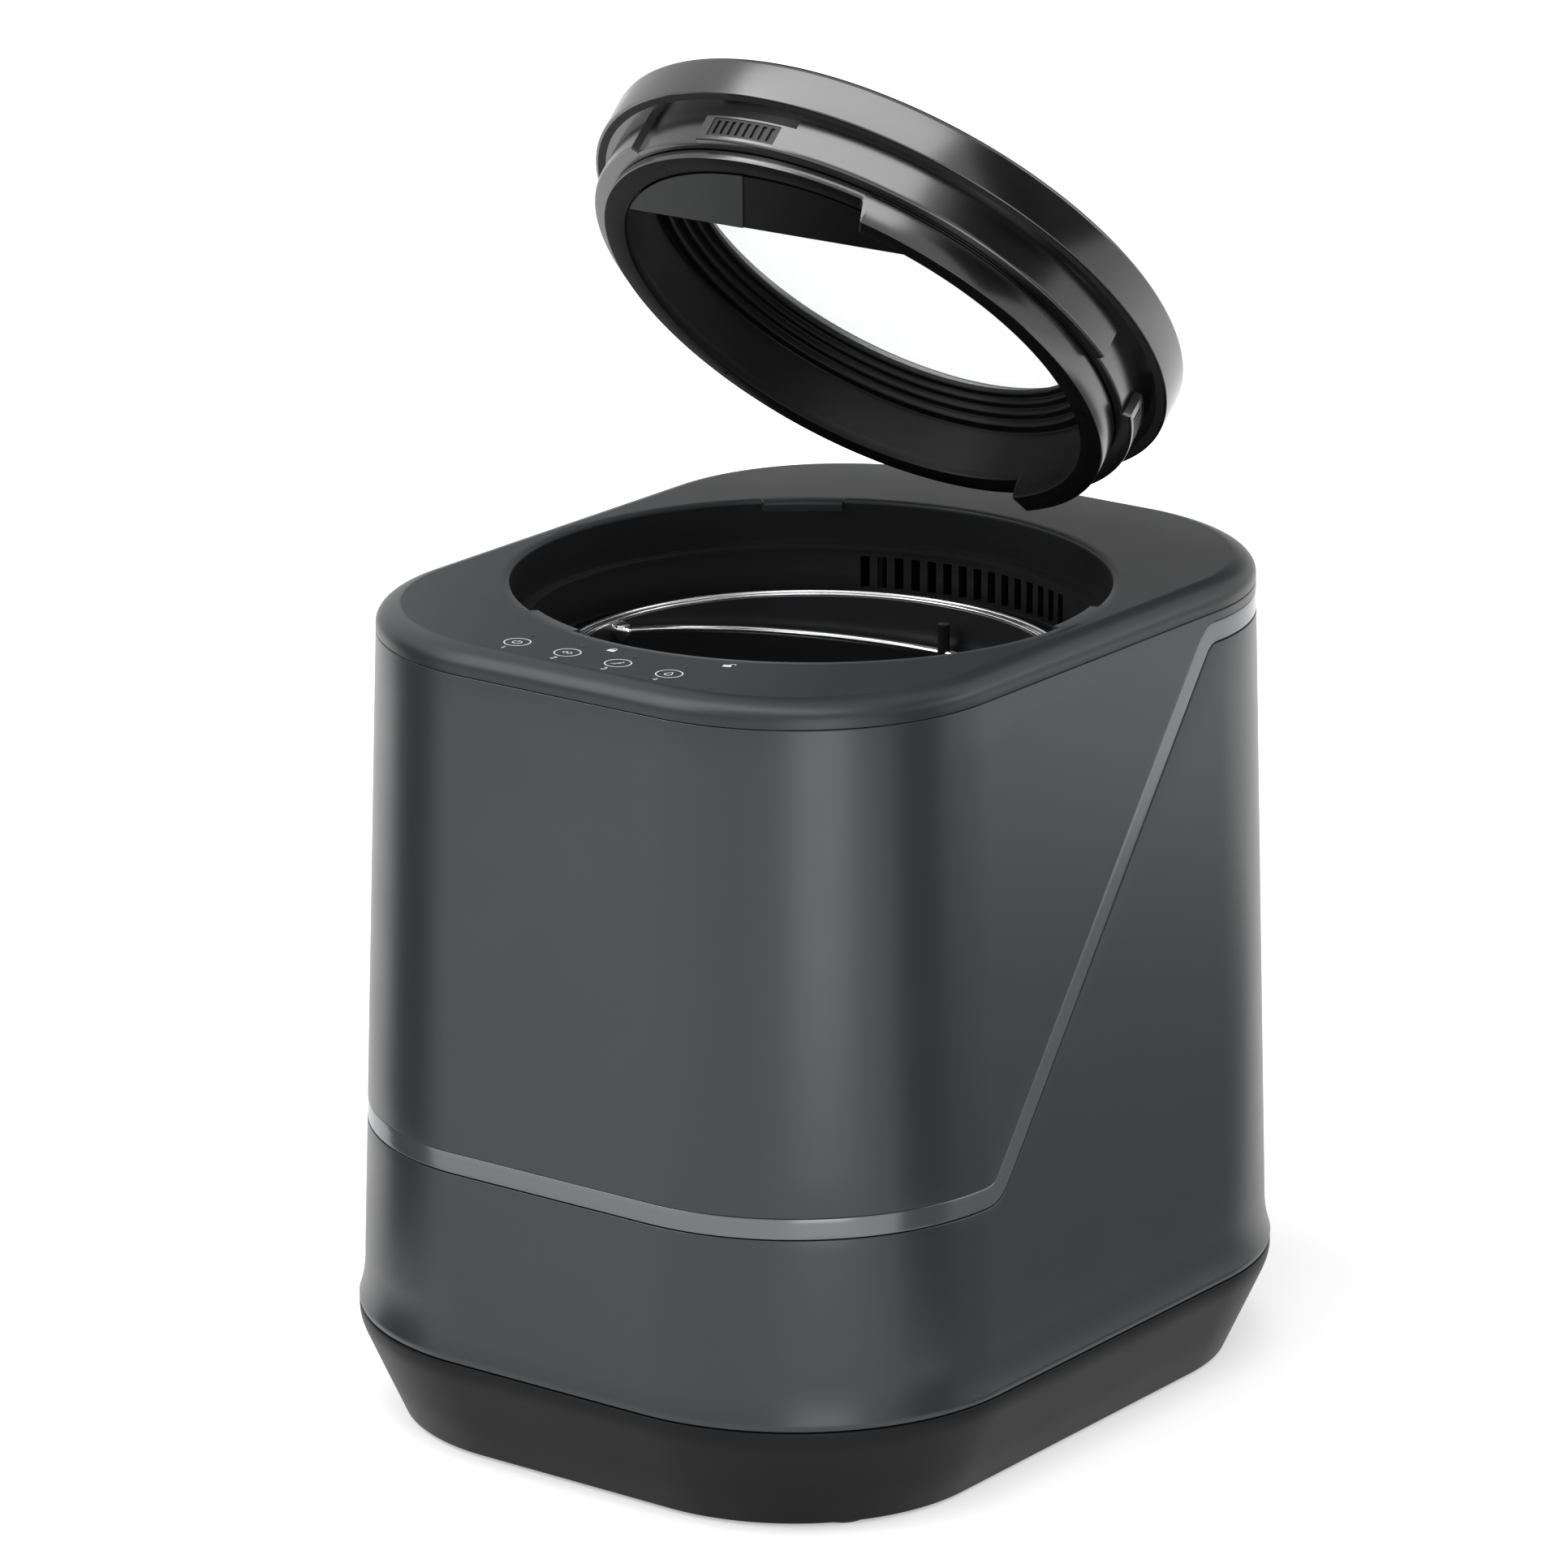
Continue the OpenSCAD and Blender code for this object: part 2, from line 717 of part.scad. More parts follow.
module filter_bay() color([0.16, 0.16, 0.17]) {
    difference() {
        translate([-bay_x / 2 - 2, bay_y0, bay_z - bay_zh / 2 - 2])
            cube([bay_x + 4, drawer_y1 - 4.3 - bay_y0, bay_zh + 4]);
        translate([-bay_x / 2, bay_y0 + 2, bay_z - bay_zh / 2])
            cube([bay_x, 140, bay_zh]);
        translate([-30, duct_y + 2, bay_z + 10]) cube([60, 26, 30]);
    }
    for (sx = [-1, 1])
        translate([sx * (bay_x / 2 - 10) - 5, bay_y0 + 4, foot_z + 3])
            cube([10, 80, bay_z - bay_zh / 2 - 2 - foot_z - 3]);
}

module filter_drawer() color([0.21, 0.215, 0.22]) {
    tray_w = drawer_w - 4;
    difference() {
        union() {
            translate([-drawer_w / 2, drawer_y1 - 3, bay_z - drawer_h / 2]) cube([drawer_w, 3, drawer_h]);
            translate([-tray_w / 2, drawer_y1 - drawer_len, bay_z - drawer_h / 2])
                cube([tray_w, drawer_len - 2, drawer_h - 4]);
        }
        translate([-tray_w / 2 + 2, drawer_y1 - drawer_len + 2, bay_z - drawer_h / 2 + 2])
            cube([tray_w - 4, drawer_len - 5, drawer_h]);
        for (i = [-8:8])
            translate([i * (drawer_w - 20) / 16 - 1.4, drawer_y1 - 5, bay_z - drawer_h / 2 + 6])
                cube([2.8, 10, drawer_h - 20]);
    }
    translate([-20, drawer_y1 - 1, bay_z + drawer_h / 2 - 9]) cube([40, 4.5, 2.4]);
}

module carbon_filter() color([0.10, 0.10, 0.10]) {
    tray_w = drawer_w - 4;
    translate([-tray_w / 2 + 2.5, drawer_y1 - drawer_len + 2.5, bay_z - drawer_h / 2 + 2])
        cube([tray_w - 5, drawer_len - 14, drawer_h - 12]);
}

module filter_seal() color([0.05, 0.05, 0.05]) {
    tray_w = drawer_w - 4;
    zt = bay_z + drawer_h / 2 - 10;
    difference() {
        translate([-tray_w / 2 + 2.5, drawer_y1 - drawer_len + 2.5, zt])
            cube([tray_w - 5, drawer_len - 14, 3]);
        translate([-tray_w / 2 + 8, drawer_y1 - drawer_len + 8, zt - 1])
            cube([tray_w - 16, drawer_len - 25, 6]);
    }
}

// The bucket

module bucket_pot() color([0.09, 0.09, 0.09]) {
    top = rim_z - 1.2;
    shoulder_r = rim_r - 4.6;
    difference() {
        on_axis(bucket_z)
            rotate_extrude()
                polygon([
                    [12, 0], [bucket_foot_r - 4, 0], [bucket_foot_r, 4],
                    [shoulder_r, top - bucket_z], [shoulder_r - bucket_wall, top - bucket_z],
                    [bucket_foot_r - bucket_wall, 5.6], [bucket_foot_r - 5, 2], [12, 2]
                ]);
    }
}

module bucket_rim() color([0.80, 0.80, 0.80]) {
    on_axis()
        rotate_extrude()
            polygon([
                [rim_r - 6.2, rim_z - 1.2], [rim_r - 1, rim_z - 1.2],
                [rim_r - 0.8, rim_z - 4], [rim_r, rim_z - 4], [rim_r, rim_z - 0.8],
                [rim_r - 0.8, rim_z], [rim_r - 5, rim_z], [rim_r - 6, rim_z - 0.6]
            ]);
}

// The bail's pins turn in two ears inside the rim.
bail_x = rim_r - 8.6;
bail_z = rim_z - 4;
bail_drop = 9;

// The space inside the bucket's wall.
module pot_inside() {
    shoulder_r = rim_r - 4.6 - bucket_wall;
    foot_in = bucket_foot_r - bucket_wall;
    on_axis(bucket_z + 5.6)
        cylinder(h = rim_z - 6.8 - bucket_z, r1 = foot_in, r2 = shoulder_r, $fn = 256);
}

module bucket_ears() color([0.62, 0.62, 0.62]) {
    for (s = [-1, 1])
        difference() {
            intersection() {
                on_axis(bail_z)
                    translate([s * (rim_r - 7.5), 0, 0])
                        rotate([0, 90, 0])
                            cylinder(h = 3.6, r = 4.2, center = true);
                pot_inside();
            }
            on_axis(bail_z)
                translate([s * bail_x, 0, 0])
                    rotate([0, 90, 0])
                        cylinder(h = 20, r = 1.68, center = true);
        }
}

module bucket_bush() color([0.70, 0.60, 0.35]) {
    on_axis() ring(12, 5.05, bucket_z - 1.2, bucket_z + 9);
}

module fixed_cutters() color([0.66, 0.66, 0.67]) {
    for (a = [20, 200])
        intersection() {
            on_axis()
                rotate([0, 0, a]) {
                    translate([bucket_foot_r - 31, -2, bucket_z + 44]) cube([36, 4, 6]);
                    translate([bucket_foot_r - 31, -1, bucket_z + 40]) cube([24, 2, 5]);
                }
            pot_inside();
        }
}

module bail_handle() color([0.78, 0.78, 0.79]) {
    wire = 1.6;
    on_axis(bail_z)
        rotate([-bail_drop, 0, 0]) {
            rotate_extrude(angle = 180)
                translate([bail_x - 3, 0])
                    circle(wire, $fn = 24);
            for (s = [-1, 1])
                translate([s * (bail_x - 3), 0, 0]) {
                    rotate([0, s * 90, 0]) cylinder(h = 5, r = wire, $fn = 32);
                    sphere(wire, $fn = 24);
                }
        }
}

module bail_tab() color([0.10, 0.10, 0.10]) {
    on_axis(bail_z)
        rotate([-bail_drop, 0, 0])
            difference() {
                translate([0, bail_x - 3, 0])
                    rotate([bail_drop, 0, 0])
                        translate([0, 0, -2.4])
                            cylinder(h = 14.4, r = 2.4, $fn = 32);
                rotate([0, 0, 80])
                    rotate_extrude(angle = 20)
                        translate([bail_x - 3, 0])
                            circle(1.6, $fn = 24);
            }
}

// The agitator

module agitator_hub() color([0.60, 0.60, 0.61]) {
    on_axis() {
        translate([0, 0, hub_z + 14]) cylinder(h = bucket_z - hub_z + 12, r = 5);
        translate([0, 0, bucket_z + 9.3]) cylinder(h = 26, r1 = 15, r2 = 9);
        translate([0, 0, bucket_z + 35.3]) cylinder(h = 5, r1 = 9, r2 = 5);
    }
}

module agitator_blades() color([0.68, 0.68, 0.69]) {
    for (i = [0:1])
        on_axis()
            difference() {
                rotate([0, 0, 60 + 180 * i]) {
                    translate([12.5, 0, bucket_z + 12])
                        rotate([90, 0, 90])
                            linear_extrude(blade_r - 12.5)
                                polygon([[-3, 10], [3, 10], [3, 3], [9, -3], [7, -5], [-3, 0]]);
                    translate([blade_r - 7, -2.4, bucket_z + 18]) cube([6, 4.8, 20]);
                }
                translate([0, 0, bucket_z + 9.3]) cylinder(h = 26, r1 = 15, r2 = 9);
            }
}

module driven_coupling() color([0.13, 0.13, 0.14]) {
    on_axis() ring(17, 5, hub_z + 14.2, hub_z + 19);
    dogs(hub_z + 7.4, hub_z + 15, 60);
}

// The lid, in a frame of its own: its axis is Z, and its seat on the deck is Z = 0.

pad_from = -lug_half - 1.5;
entry_from = lug_first + pad_from;

module lid_recess(floor_r, from, to, z0, z1) {
    for (i = [0:2])
        rotate([0, 0, 120 * i])
            sector(band_r + 4, floor_r, z0, z1, from, to);
}

module window_glass() color([0.75, 0.80, 0.82, 0.35]) {
    tipped() translate([0, 0, lid_rim_h - 4.9]) cylinder(h = 2.9, r = window_r, $fn = 180);
}

module lid_rim() color([0.05, 0.05, 0.055]) {
    h = lid_rim_h;
    tipped()
        rotate_extrude($fn = 180)
            polygon([
                [band_in, 0], [seal_r - 3, 0], [seal_r - 3, 1.5], [seal_r, 1.5], [seal_r, 0],
                [lid_r - 0.5, 0], [lid_r, 0.6], [lid_r, h - 7],
                [lid_r - 0.5, h - 4], [lid_r - 1.8, h - 1.6], [lid_r - 3.6, h - 0.3],
                [lid_r - 5.5, h], [window_r + 0.4, h - 0.8], [window_r + 0.4, h - 5],
                [window_r + 14, h - 5], [lid_r - 4.5, h - 6.5], [lid_r - 4, 3], [band_in, 3]
            ]);
}

module lid_band() color([0.06, 0.06, 0.065]) {
    tipped()
        difference() {
            rotate_extrude()
                polygon([
                    [band_in, 0], [band_r, 0], [band_r, -band_h], [band_r - 2, -band_h],
                    [band_r - 2, -band_h - 1.2], [skirt_in + 2, -band_h - 1.2],
                    [skirt_in + 2, -band_h], [band_in, -band_h]
                ]);
            // the way in, open downwards
            lid_recess(pad_floor_r, entry_from, entry_from + 20.5, -band_h - 5, 1);
            // the locked place, above the pad
            lid_recess(pad_floor_r - 0.2, entry_from + 20, entry_from + 19.5 + lock_turn, -5.2, 1);
            // the seat of the pad
            lid_recess(pad_seat_r, entry_from + 23, entry_from + 38.5, -14.2, -6.2);
        }
}

module ribbed_pads() color([0.16, 0.16, 0.17]) {
    tipped()
        for (i = [0:2])
            rotate([0, 0, 120 * i])
                difference() {
                    sector(band_r - 0.3, pad_seat_r, -14.2, -6.2, entry_from + 23, entry_from + 38.5);
                    for (k = [0:7])
                        sector(band_r + 2, band_r - 1.1, -13.2, -7.2,
                            entry_from + 24 + 1.8 * k, entry_from + 24.9 + 1.8 * k);
                }
}

module lid_skirt() color([0.06, 0.06, 0.065]) {
    tipped()
        difference() {
            ring(skirt_r, skirt_in, -skirt_drop, -band_h - 1.2);
            sector(skirt_r + 3, skirt_in - 3, -skirt_drop - 2, -skirt_shallow, 72, 297.5);
            for (a = [-50, 10, 55, 150, 245])
                rotate([0, 0, a])
                    translate([(skirt_r + skirt_in) / 2, 0, -40])
                        cylinder(h = 24, r = 1.7);
        }
}

module lid_screws() color([0.30, 0.30, 0.31]) {
    tipped()
        for (a = [-50, 10, 55, 150, 245]) {
            low = a > 100 ? -skirt_shallow : -skirt_drop;
            rotate([0, 0, a])
                translate([(skirt_r + skirt_in) / 2, 0, low])
                    cylinder(h = -band_h - 1.2 - low, r = 1.65, $fn = 32);
        }
}

module window_bezel() color([0.10, 0.10, 0.11]) {
    h = lid_rim_h;
    tipped()
        rotate_extrude($fn = 180)
            polygon([
                [skirt_in + 0.5, -band_h], [band_in, -band_h], [band_in, 0],
                [skirt_in + 3, 0], [skirt_in + 2.4, 6], [window_r + 2.6, h - 5],
                [window_r - 4, h - 5], [window_r - 4, h - 7.3], [window_r - 1.2, h - 7.3],
                [window_r - 1.2, h - 10], [window_r + 1.8, h - 10], [window_r + 1.8, h - 13],
                [window_r + 5, h - 13], [window_r + 5, h - 16.4], [skirt_in - 1, h - 16.4]
            ]);
}

module front_block() color([0.08, 0.08, 0.085]) {
    tipped()
        intersection() {
            translate([0, 0, -skirt_shallow])
                cylinder(h = skirt_shallow + lid_rim_h - 16.4, r = skirt_in - 1.2, $fn = 180);
            translate([-2 * skirt_in, -2 * skirt_in, -40])
                cube([4 * skirt_in, 2 * skirt_in - block_chord, 60]);
        }
}

module lid_seal() color([0.20, 0.20, 0.20]) {
    tipped() ring(seal_r, seal_r - 3, -seat_gap + 0.1, 1.5);
}

base_skirt();
bottom_plate();
rubber_feet();
bottom_screws();
front_shell();
rear_shell();
trim_band();
deck_cover();
panel_marks();
indicator_lights();
touch_board();
well_liner();
chamber();
heater_plate();
temperature_sensor();
insulation_sleeve();
gearbox_case();
gearbox_cover();
gearbox_screws();
lower_bearing();
upper_bearing();
drive_gear();
drive_shaft();
drive_coupling();
motor_can();
motor_pinion();
power_board();
board_standoffs();
mains_inlet();
air_duct();
fan_frame();
fan_rotor();
fan_screws();
filter_bay();
filter_drawer();
carbon_filter();
filter_seal();
bucket_pot();
bucket_rim();
bucket_ears();
bucket_bush();
fixed_cutters();
bail_handle();
bail_tab();
agitator_hub();
agitator_blades();
driven_coupling();
window_glass();
lid_rim();
lid_band();
lid_skirt();
window_bezel();
front_block();
ribbed_pads();
lid_screws();
lid_seal();
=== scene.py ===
import math

import bmesh
import bpy
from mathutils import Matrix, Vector


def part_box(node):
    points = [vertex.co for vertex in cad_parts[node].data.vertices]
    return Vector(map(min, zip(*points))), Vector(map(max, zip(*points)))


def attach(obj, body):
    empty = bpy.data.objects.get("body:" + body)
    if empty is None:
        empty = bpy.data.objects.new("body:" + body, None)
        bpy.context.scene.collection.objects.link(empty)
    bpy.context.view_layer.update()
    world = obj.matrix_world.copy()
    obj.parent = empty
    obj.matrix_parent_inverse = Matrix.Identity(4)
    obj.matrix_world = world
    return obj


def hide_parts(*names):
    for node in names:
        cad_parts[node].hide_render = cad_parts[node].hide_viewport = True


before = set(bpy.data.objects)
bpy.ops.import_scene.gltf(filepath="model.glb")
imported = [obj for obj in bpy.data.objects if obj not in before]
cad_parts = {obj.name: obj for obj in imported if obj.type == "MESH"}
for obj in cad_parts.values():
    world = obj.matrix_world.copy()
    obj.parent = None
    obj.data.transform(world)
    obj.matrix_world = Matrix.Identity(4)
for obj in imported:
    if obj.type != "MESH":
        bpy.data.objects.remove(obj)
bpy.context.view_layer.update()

# The camera: a long lens a few metres off, to the right of the front and a little above. Lengths
# are metres for the camera, the room, the lamps and the finishes, and millimetres for the pieces.
view_turn = math.radians(36.54)
view_rise = math.radians(17.02)
view_distance = 3.2212
aim = Vector((-0.02390, 0.00887, 0.23279))
back = Vector((
    math.sin(view_turn) * math.cos(view_rise),
    -math.cos(view_turn) * math.cos(view_rise),
    math.sin(view_rise),
))
lens = bpy.data.cameras.new("camera")
lens.sensor_width = 36
lens.lens = 190.94
lens.clip_start = 0.1
lens.clip_end = 100
camera = bpy.data.objects.new("camera", lens)
camera.location = aim + back * view_distance
camera.rotation_euler = (math.pi / 2 - view_rise, 0, view_turn)
bpy.context.scene.collection.objects.link(camera)
bpy.context.scene.camera = camera
bpy.context.scene.view_settings.view_transform = "Standard"


# The room: a white surround and a floor of plain white board, which keeps the soft shadow
# under the casing. Only views and reflections see the full white of the surround.
class Wire:
    """One socket of a material's nodes. Sums written with it add their Math nodes."""

    def __init__(self, finish, socket):
        self.finish = finish
        self.socket = socket

    def maths(self, operation, first, second):
        return self.finish.node("ShaderNodeMath", {"operation": operation}, {0: first, 1: second})

    def __add__(self, other):
        return self.maths("ADD", self, other)

    def __radd__(self, other):
        return self.maths("ADD", other, self)

    def __sub__(self, other):
        return self.maths("SUBTRACT", self, other)

    def __rsub__(self, other):
        return self.maths("SUBTRACT", other, self)

    def __mul__(self, other):
        return self.maths("MULTIPLY", self, other)

    def __rmul__(self, other):
        return self.maths("MULTIPLY", other, self)


class Finish:
    """A tree of shader nodes that is filled one node at a time."""

    def __init__(self, owner):
        self.owner = owner
        owner.use_nodes = True
        self.tree = owner.node_tree

    def node(self, kind, settings, inputs, output=0):
        """A new node with its settings and the values or links of its sockets."""
        made = self.tree.nodes.new(kind)
        for key, value in settings.items():
            setattr(made, key, value)
        for key, value in inputs.items():
            self.feed(made.inputs[key], value)
        return Wire(self, made.outputs[output])

    def feed(self, socket, value):
        if isinstance(value, Wire):
            self.tree.links.new(value.socket, socket)
        elif isinstance(value, tuple) and socket.type == "RGBA":
            socket.default_value = (*value, 1)
        else:
            socket.default_value = value

    def between(self, share, low, high):
        """A colour that goes from low to high as share goes from 0 to 1."""
        return self.node("ShaderNodeMix", {"data_type": "RGBA"}, {0: share, 6: low, 7: high}, 2)

    def spread(self, value, low, high):
        """A value from 0 to 1 brought to the span from low to high."""
        return self.node("ShaderNodeMapRange", {}, {"Value": value, "To Min": low, "To Max": high})

    def window(self, value, start, end):
        """0 where value is at or below start, 1 from end upwards."""
        return self.node("ShaderNodeMapRange", {}, {"Value": value, "From Min": start, "From Max": end})

    def noise(self, scale, detail, place=None):
        """Soft noise from 0 to 1, over the piece's own space unless a place is given."""
        inputs = {"Vector": place or self.place(), "Scale": scale, "Detail": detail}
        return self.node("ShaderNodeTexNoise", {}, inputs, "Fac")

    def edge(self, reach):
        """1 on sharp edges, 0 at a reach from them."""
        soft = self.node("ShaderNodeBevel", {"samples": 2}, {"Radius": reach})
        flat = self.node("ShaderNodeNewGeometry", {}, {}, "Normal")
        lean = self.node("ShaderNodeVectorMath", {"operation": "DOT_PRODUCT"}, {0: soft, 1: flat}, "Value")
        return self.window(1 - lean, start=0.01, end=0.14)

    def place(self):
        """The point's place in the piece's own space."""
        return self.node("ShaderNodeTexCoord", {}, {}, "Object")


def white_to_eyes(finish):
    """1 for camera, mirror and window rays, 0 for the rays that carry light."""
    rays = [
        finish.node("ShaderNodeLightPath", {}, {}, kind)
        for kind in ("Is Camera Ray", "Is Glossy Ray", "Is Transmission Ray")
    ]
    either = finish.node("ShaderNodeMath", {"operation": "MAXIMUM"}, {0: rays[0], 1: rays[1]})
    return finish.node("ShaderNodeMath", {"operation": "MAXIMUM"}, {0: either, 1: rays[2]})


room_light = 0.42
room = bpy.data.worlds.new("room")
bpy.context.scene.world = room
room_finish = Finish(room)
sky = room_finish.tree.nodes["Background"]
sky.inputs["Color"].default_value = (1, 1, 1, 1)
sky_strength = room_finish.spread(white_to_eyes(room_finish), room_light, 1.0)
room_finish.feed(sky.inputs["Strength"], sky_strength)

floor_half = 9.0
floor_glow_near = 0.42
floor_glow_far = 1.0
glow_near_end = 0.45
glow_far_start = 1.4
board_tone = 0.8
board_rough = 0.8
floor_mesh = bpy.data.meshes.new("floor")
floor_mesh.from_pydata(
    [(-floor_half, -floor_half, 0), (floor_half, -floor_half, 0),
     (floor_half, floor_half, 0), (-floor_half, floor_half, 0)],
    [],
    [(0, 1, 2, 3)],
)
floor = bpy.data.objects.new("floor", floor_mesh)
bpy.context.scene.collection.objects.link(floor)
board = Finish(bpy.data.materials.new("white_board"))
floor_shader = board.tree.nodes["Principled BSDF"]
away = board.node("ShaderNodeVectorMath", {"operation": "LENGTH"}, {0: board.place()}, "Value")
far = board.window(away, glow_near_end, glow_far_start)
glow = board.spread(far, floor_glow_near, floor_glow_far) * white_to_eyes(board)
board.feed(floor_shader.inputs["Base Color"], (board_tone, board_tone, board_tone))
board.feed(floor_shader.inputs["Roughness"], board_rough)
board.feed(floor_shader.inputs["Specular IOR Level"], 0.0)
board.feed(floor_shader.inputs["Emission Color"], (1.0, 1.0, 1.0))
board.feed(floor_shader.inputs["Emission Strength"], glow)
floor_mesh.materials.append(board.owner)


# The lamps: a long soft box overhead, one at the front left, one at the rear right, and a narrow
# one low before the front right corner. Four black cards and a grey sheet on the floor, seen only
# in reflections, keep the white surround out of the corners, the deck, the lid and the lower side.
lamp_aim_z = 0.25


def facing(turn, rise=0.0):
    """The level turn round the object, from the front towards the right, and the rise above it."""
    turn, rise = math.radians(turn), math.radians(rise)
    return Vector((math.sin(turn) * math.cos(rise), -math.cos(turn) * math.cos(rise), math.sin(rise)))


def soft_box(name, turn, rise, distance, wide, high, watts, aim_x=0.0):
    """An area lamp that faces the object from a turn round it and a rise above the floor."""
    out = facing(turn, rise)
    lamp = bpy.data.lights.new(name, "AREA")
    lamp.shape = "RECTANGLE"
    lamp.size = wide
    lamp.size_y = high
    lamp.energy = watts
    box = bpy.data.objects.new(name, lamp)
    box.location = Vector((aim_x, 0, lamp_aim_z)) + out * distance
    box.rotation_euler = (-out).to_track_quat("-Z", "Y").to_euler()
    box.visible_camera = False
    bpy.context.scene.collection.objects.link(box)


soft_box("top_lamp", turn=0, rise=73, distance=2.0, wide=2.8, high=0.8, watts=30, aim_x=-0.2)
soft_box("front_lamp", turn=-38, rise=40, distance=2.2, wide=1.2, high=1.2, watts=20)
soft_box("side_lamp", turn=130, rise=34, distance=2.2, wide=1.0, high=1.2, watts=12)
soft_box("corner_lamp", turn=46, rise=2, distance=0.62, wide=0.24, high=0.46, watts=1.0)


def dark_card(name, corners, tone=0.01):
    """A card that is seen only in reflections, from its four corners."""
    paper = Finish(bpy.data.materials.new(name))
    shader = paper.tree.nodes["Principled BSDF"]
    paper.feed(shader.inputs["Base Color"], (tone, tone, tone))
    paper.feed(shader.inputs["Specular IOR Level"], 0.0)
    mesh = bpy.data.meshes.new(name)
    mesh.from_pydata(corners, [], [(0, 1, 2, 3)])
    mesh.materials.append(paper.owner)
    card = bpy.data.objects.new(name, mesh)
    bpy.context.scene.collection.objects.link(card)
    for kind in ("camera", "diffuse", "transmission", "shadow", "volume_scatter"):
        setattr(card, f"visible_{kind}", False)


def upright(x, y, turn, wide, low, high):
    """Corners of an upright card that stands at a place, its face turned towards the object."""
    along = facing(turn + 90) * (wide / 2)
    return [
        (x + side * along.x, y + side * along.y, z)
        for side, z in ((-1, low), (1, low), (1, high), (-1, high))
    ]


dark_card("card_right", upright(0.345, -0.075, turn=102, wide=0.12, low=0.0, high=0.42))
dark_card("card_left", upright(-0.285, -0.235, turn=-74, wide=0.16, low=0.0, high=0.42))
dark_card("card_lid", upright(0.36, 0.07, turn=98, wide=0.3, low=0.51, high=0.9))
dark_card("card_behind", upright(-0.27, 0.58, turn=-155, wide=0.7, low=0.47, high=1.1))
sheet_z = 0.0015
sheet_left, sheet_right = 0.20, 0.95
sheet_near, sheet_far = -0.05, 0.75
sheet = [
    (sheet_left, sheet_near, sheet_z), (sheet_right, sheet_near, sheet_z),
    (sheet_right, sheet_far, sheet_z), (sheet_left, sheet_far, sheet_z),
]
dark_card("grey_sheet", sheet, tone=0.34)


# The casing's shells: two mouldings of satin charcoal plastic that meet the trim band, the
# front one above it and the rear one below. Each has soft edges and a fine even grain.
mm = 0.001


def measured(node):
    """Lowest and highest corner of a frame node in millimetres."""
    low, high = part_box(node)
    return low / mm, high / mm


deck_z = measured("deck_cover")[1].z
corner_x = 45.0
corner_y = 77.5
deck_edge_h = 10.0
seam_z = deck_z - deck_edge_h
base_seam_z = measured("base_skirt")[1].z
shell_top_r = 86.0
shell_top_drop = 0.6
shell_foot_r = 93.4
swell = 2.6
swell_z = base_seam_z + 2.4
straight_z = base_seam_z + 21
seam_round = 0.4
swell_curve = 2.4
trim_front_z = 122.8
trim_rear_z = seam_z - 8
trim_side_z = 216.0
trim_slope = math.radians(51.7)
trim_bend = 12.0
trim_half = 4.3
plan_step = 2.4
edge_round = 0.4
edge_back = 0.6
tuck = 3.6
crease_turn = 32


def smooth(mesh, crease):
    """Shades a mesh smooth up to a crease angle."""
    mesh.polygons.foreach_set("use_smooth", [True] * len(mesh.polygons))
    mesh.set_sharp_from_angle(angle=math.radians(crease))


def make_piece(name, points, faces, crease=crease_turn):
    """A piece from its points and faces."""
    mesh = bpy.data.meshes.new(name)
    mesh.from_pydata([(x * mm, y * mm, z * mm) for x, y, z in points], [], faces)
    smooth(mesh, crease)
    piece = bpy.data.objects.new(name, mesh)
    bpy.context.scene.collection.objects.link(piece)
    return piece


def skin(name, rows, crease=crease_turn):
    """A surface over rows of points that run round the piece, from its foot upwards."""
    count = len(rows[0])
    points = [point for row in rows for point in row]
    faces = []
    for r in range(len(rows) - 1):
        for c in range(count):
            d = (c + 1) % count
            faces.append((r * count + c, r * count + d, (r + 1) * count + d, (r + 1) * count + c))
    return make_piece(name, points, faces, crease)


def mix(low, high, share):
    """The value that is a share of the way from low to high."""
    return low + (high - low) * share


def quarter(radius, steps=4):
    """Points (in, down) of a rounded edge, from upright to level."""
    turns = [math.radians(90 * i / steps) for i in range(steps + 1)]
    return [(radius * (1 - math.cos(t)), radius * (1 - math.sin(t))) for t in turns]


def plan_columns():
    """Places round the casing's plan: a point on the inner rectangle and the way out from it."""
    centres = [(corner_x, -corner_y), (corner_x, corner_y), (-corner_x, corner_y), (-corner_x, -corner_y)]
    columns = []
    for k in range(4):
        (x0, y0), (x1, y1) = centres[k], centres[(k + 1) % 4]
        turn = math.pi / 2 * k
        sides = round(math.hypot(x1 - x0, y1 - y0) / plan_step)
        for i in range(sides):
            place = (mix(x0, x1, i / sides), mix(y0, y1, i / sides))
            columns.append((*place, math.cos(turn), math.sin(turn)))
        bends = round(math.pi / 2 * shell_top_r / plan_step)
        for i in range(bends):
            a = turn + math.pi / 2 * i / bends
            columns.append((x1, y1, math.cos(a), math.sin(a)))
    return columns


columns = plan_columns()


def shell_r(z):
    """Reach of the shell from the inner rectangle at a height."""
    if z < swell_z:
        low = (swell_z - z) / (swell_z - base_seam_z)
        return shell_foot_r + swell - seam_round * low * low
    if z < straight_z:
        return shell_foot_r + swell * ((straight_z - z) / (straight_z - swell_z)) ** swell_curve
    return mix(shell_foot_r, shell_top_r, (z - straight_z) / (seam_z - shell_top_drop - straight_z))


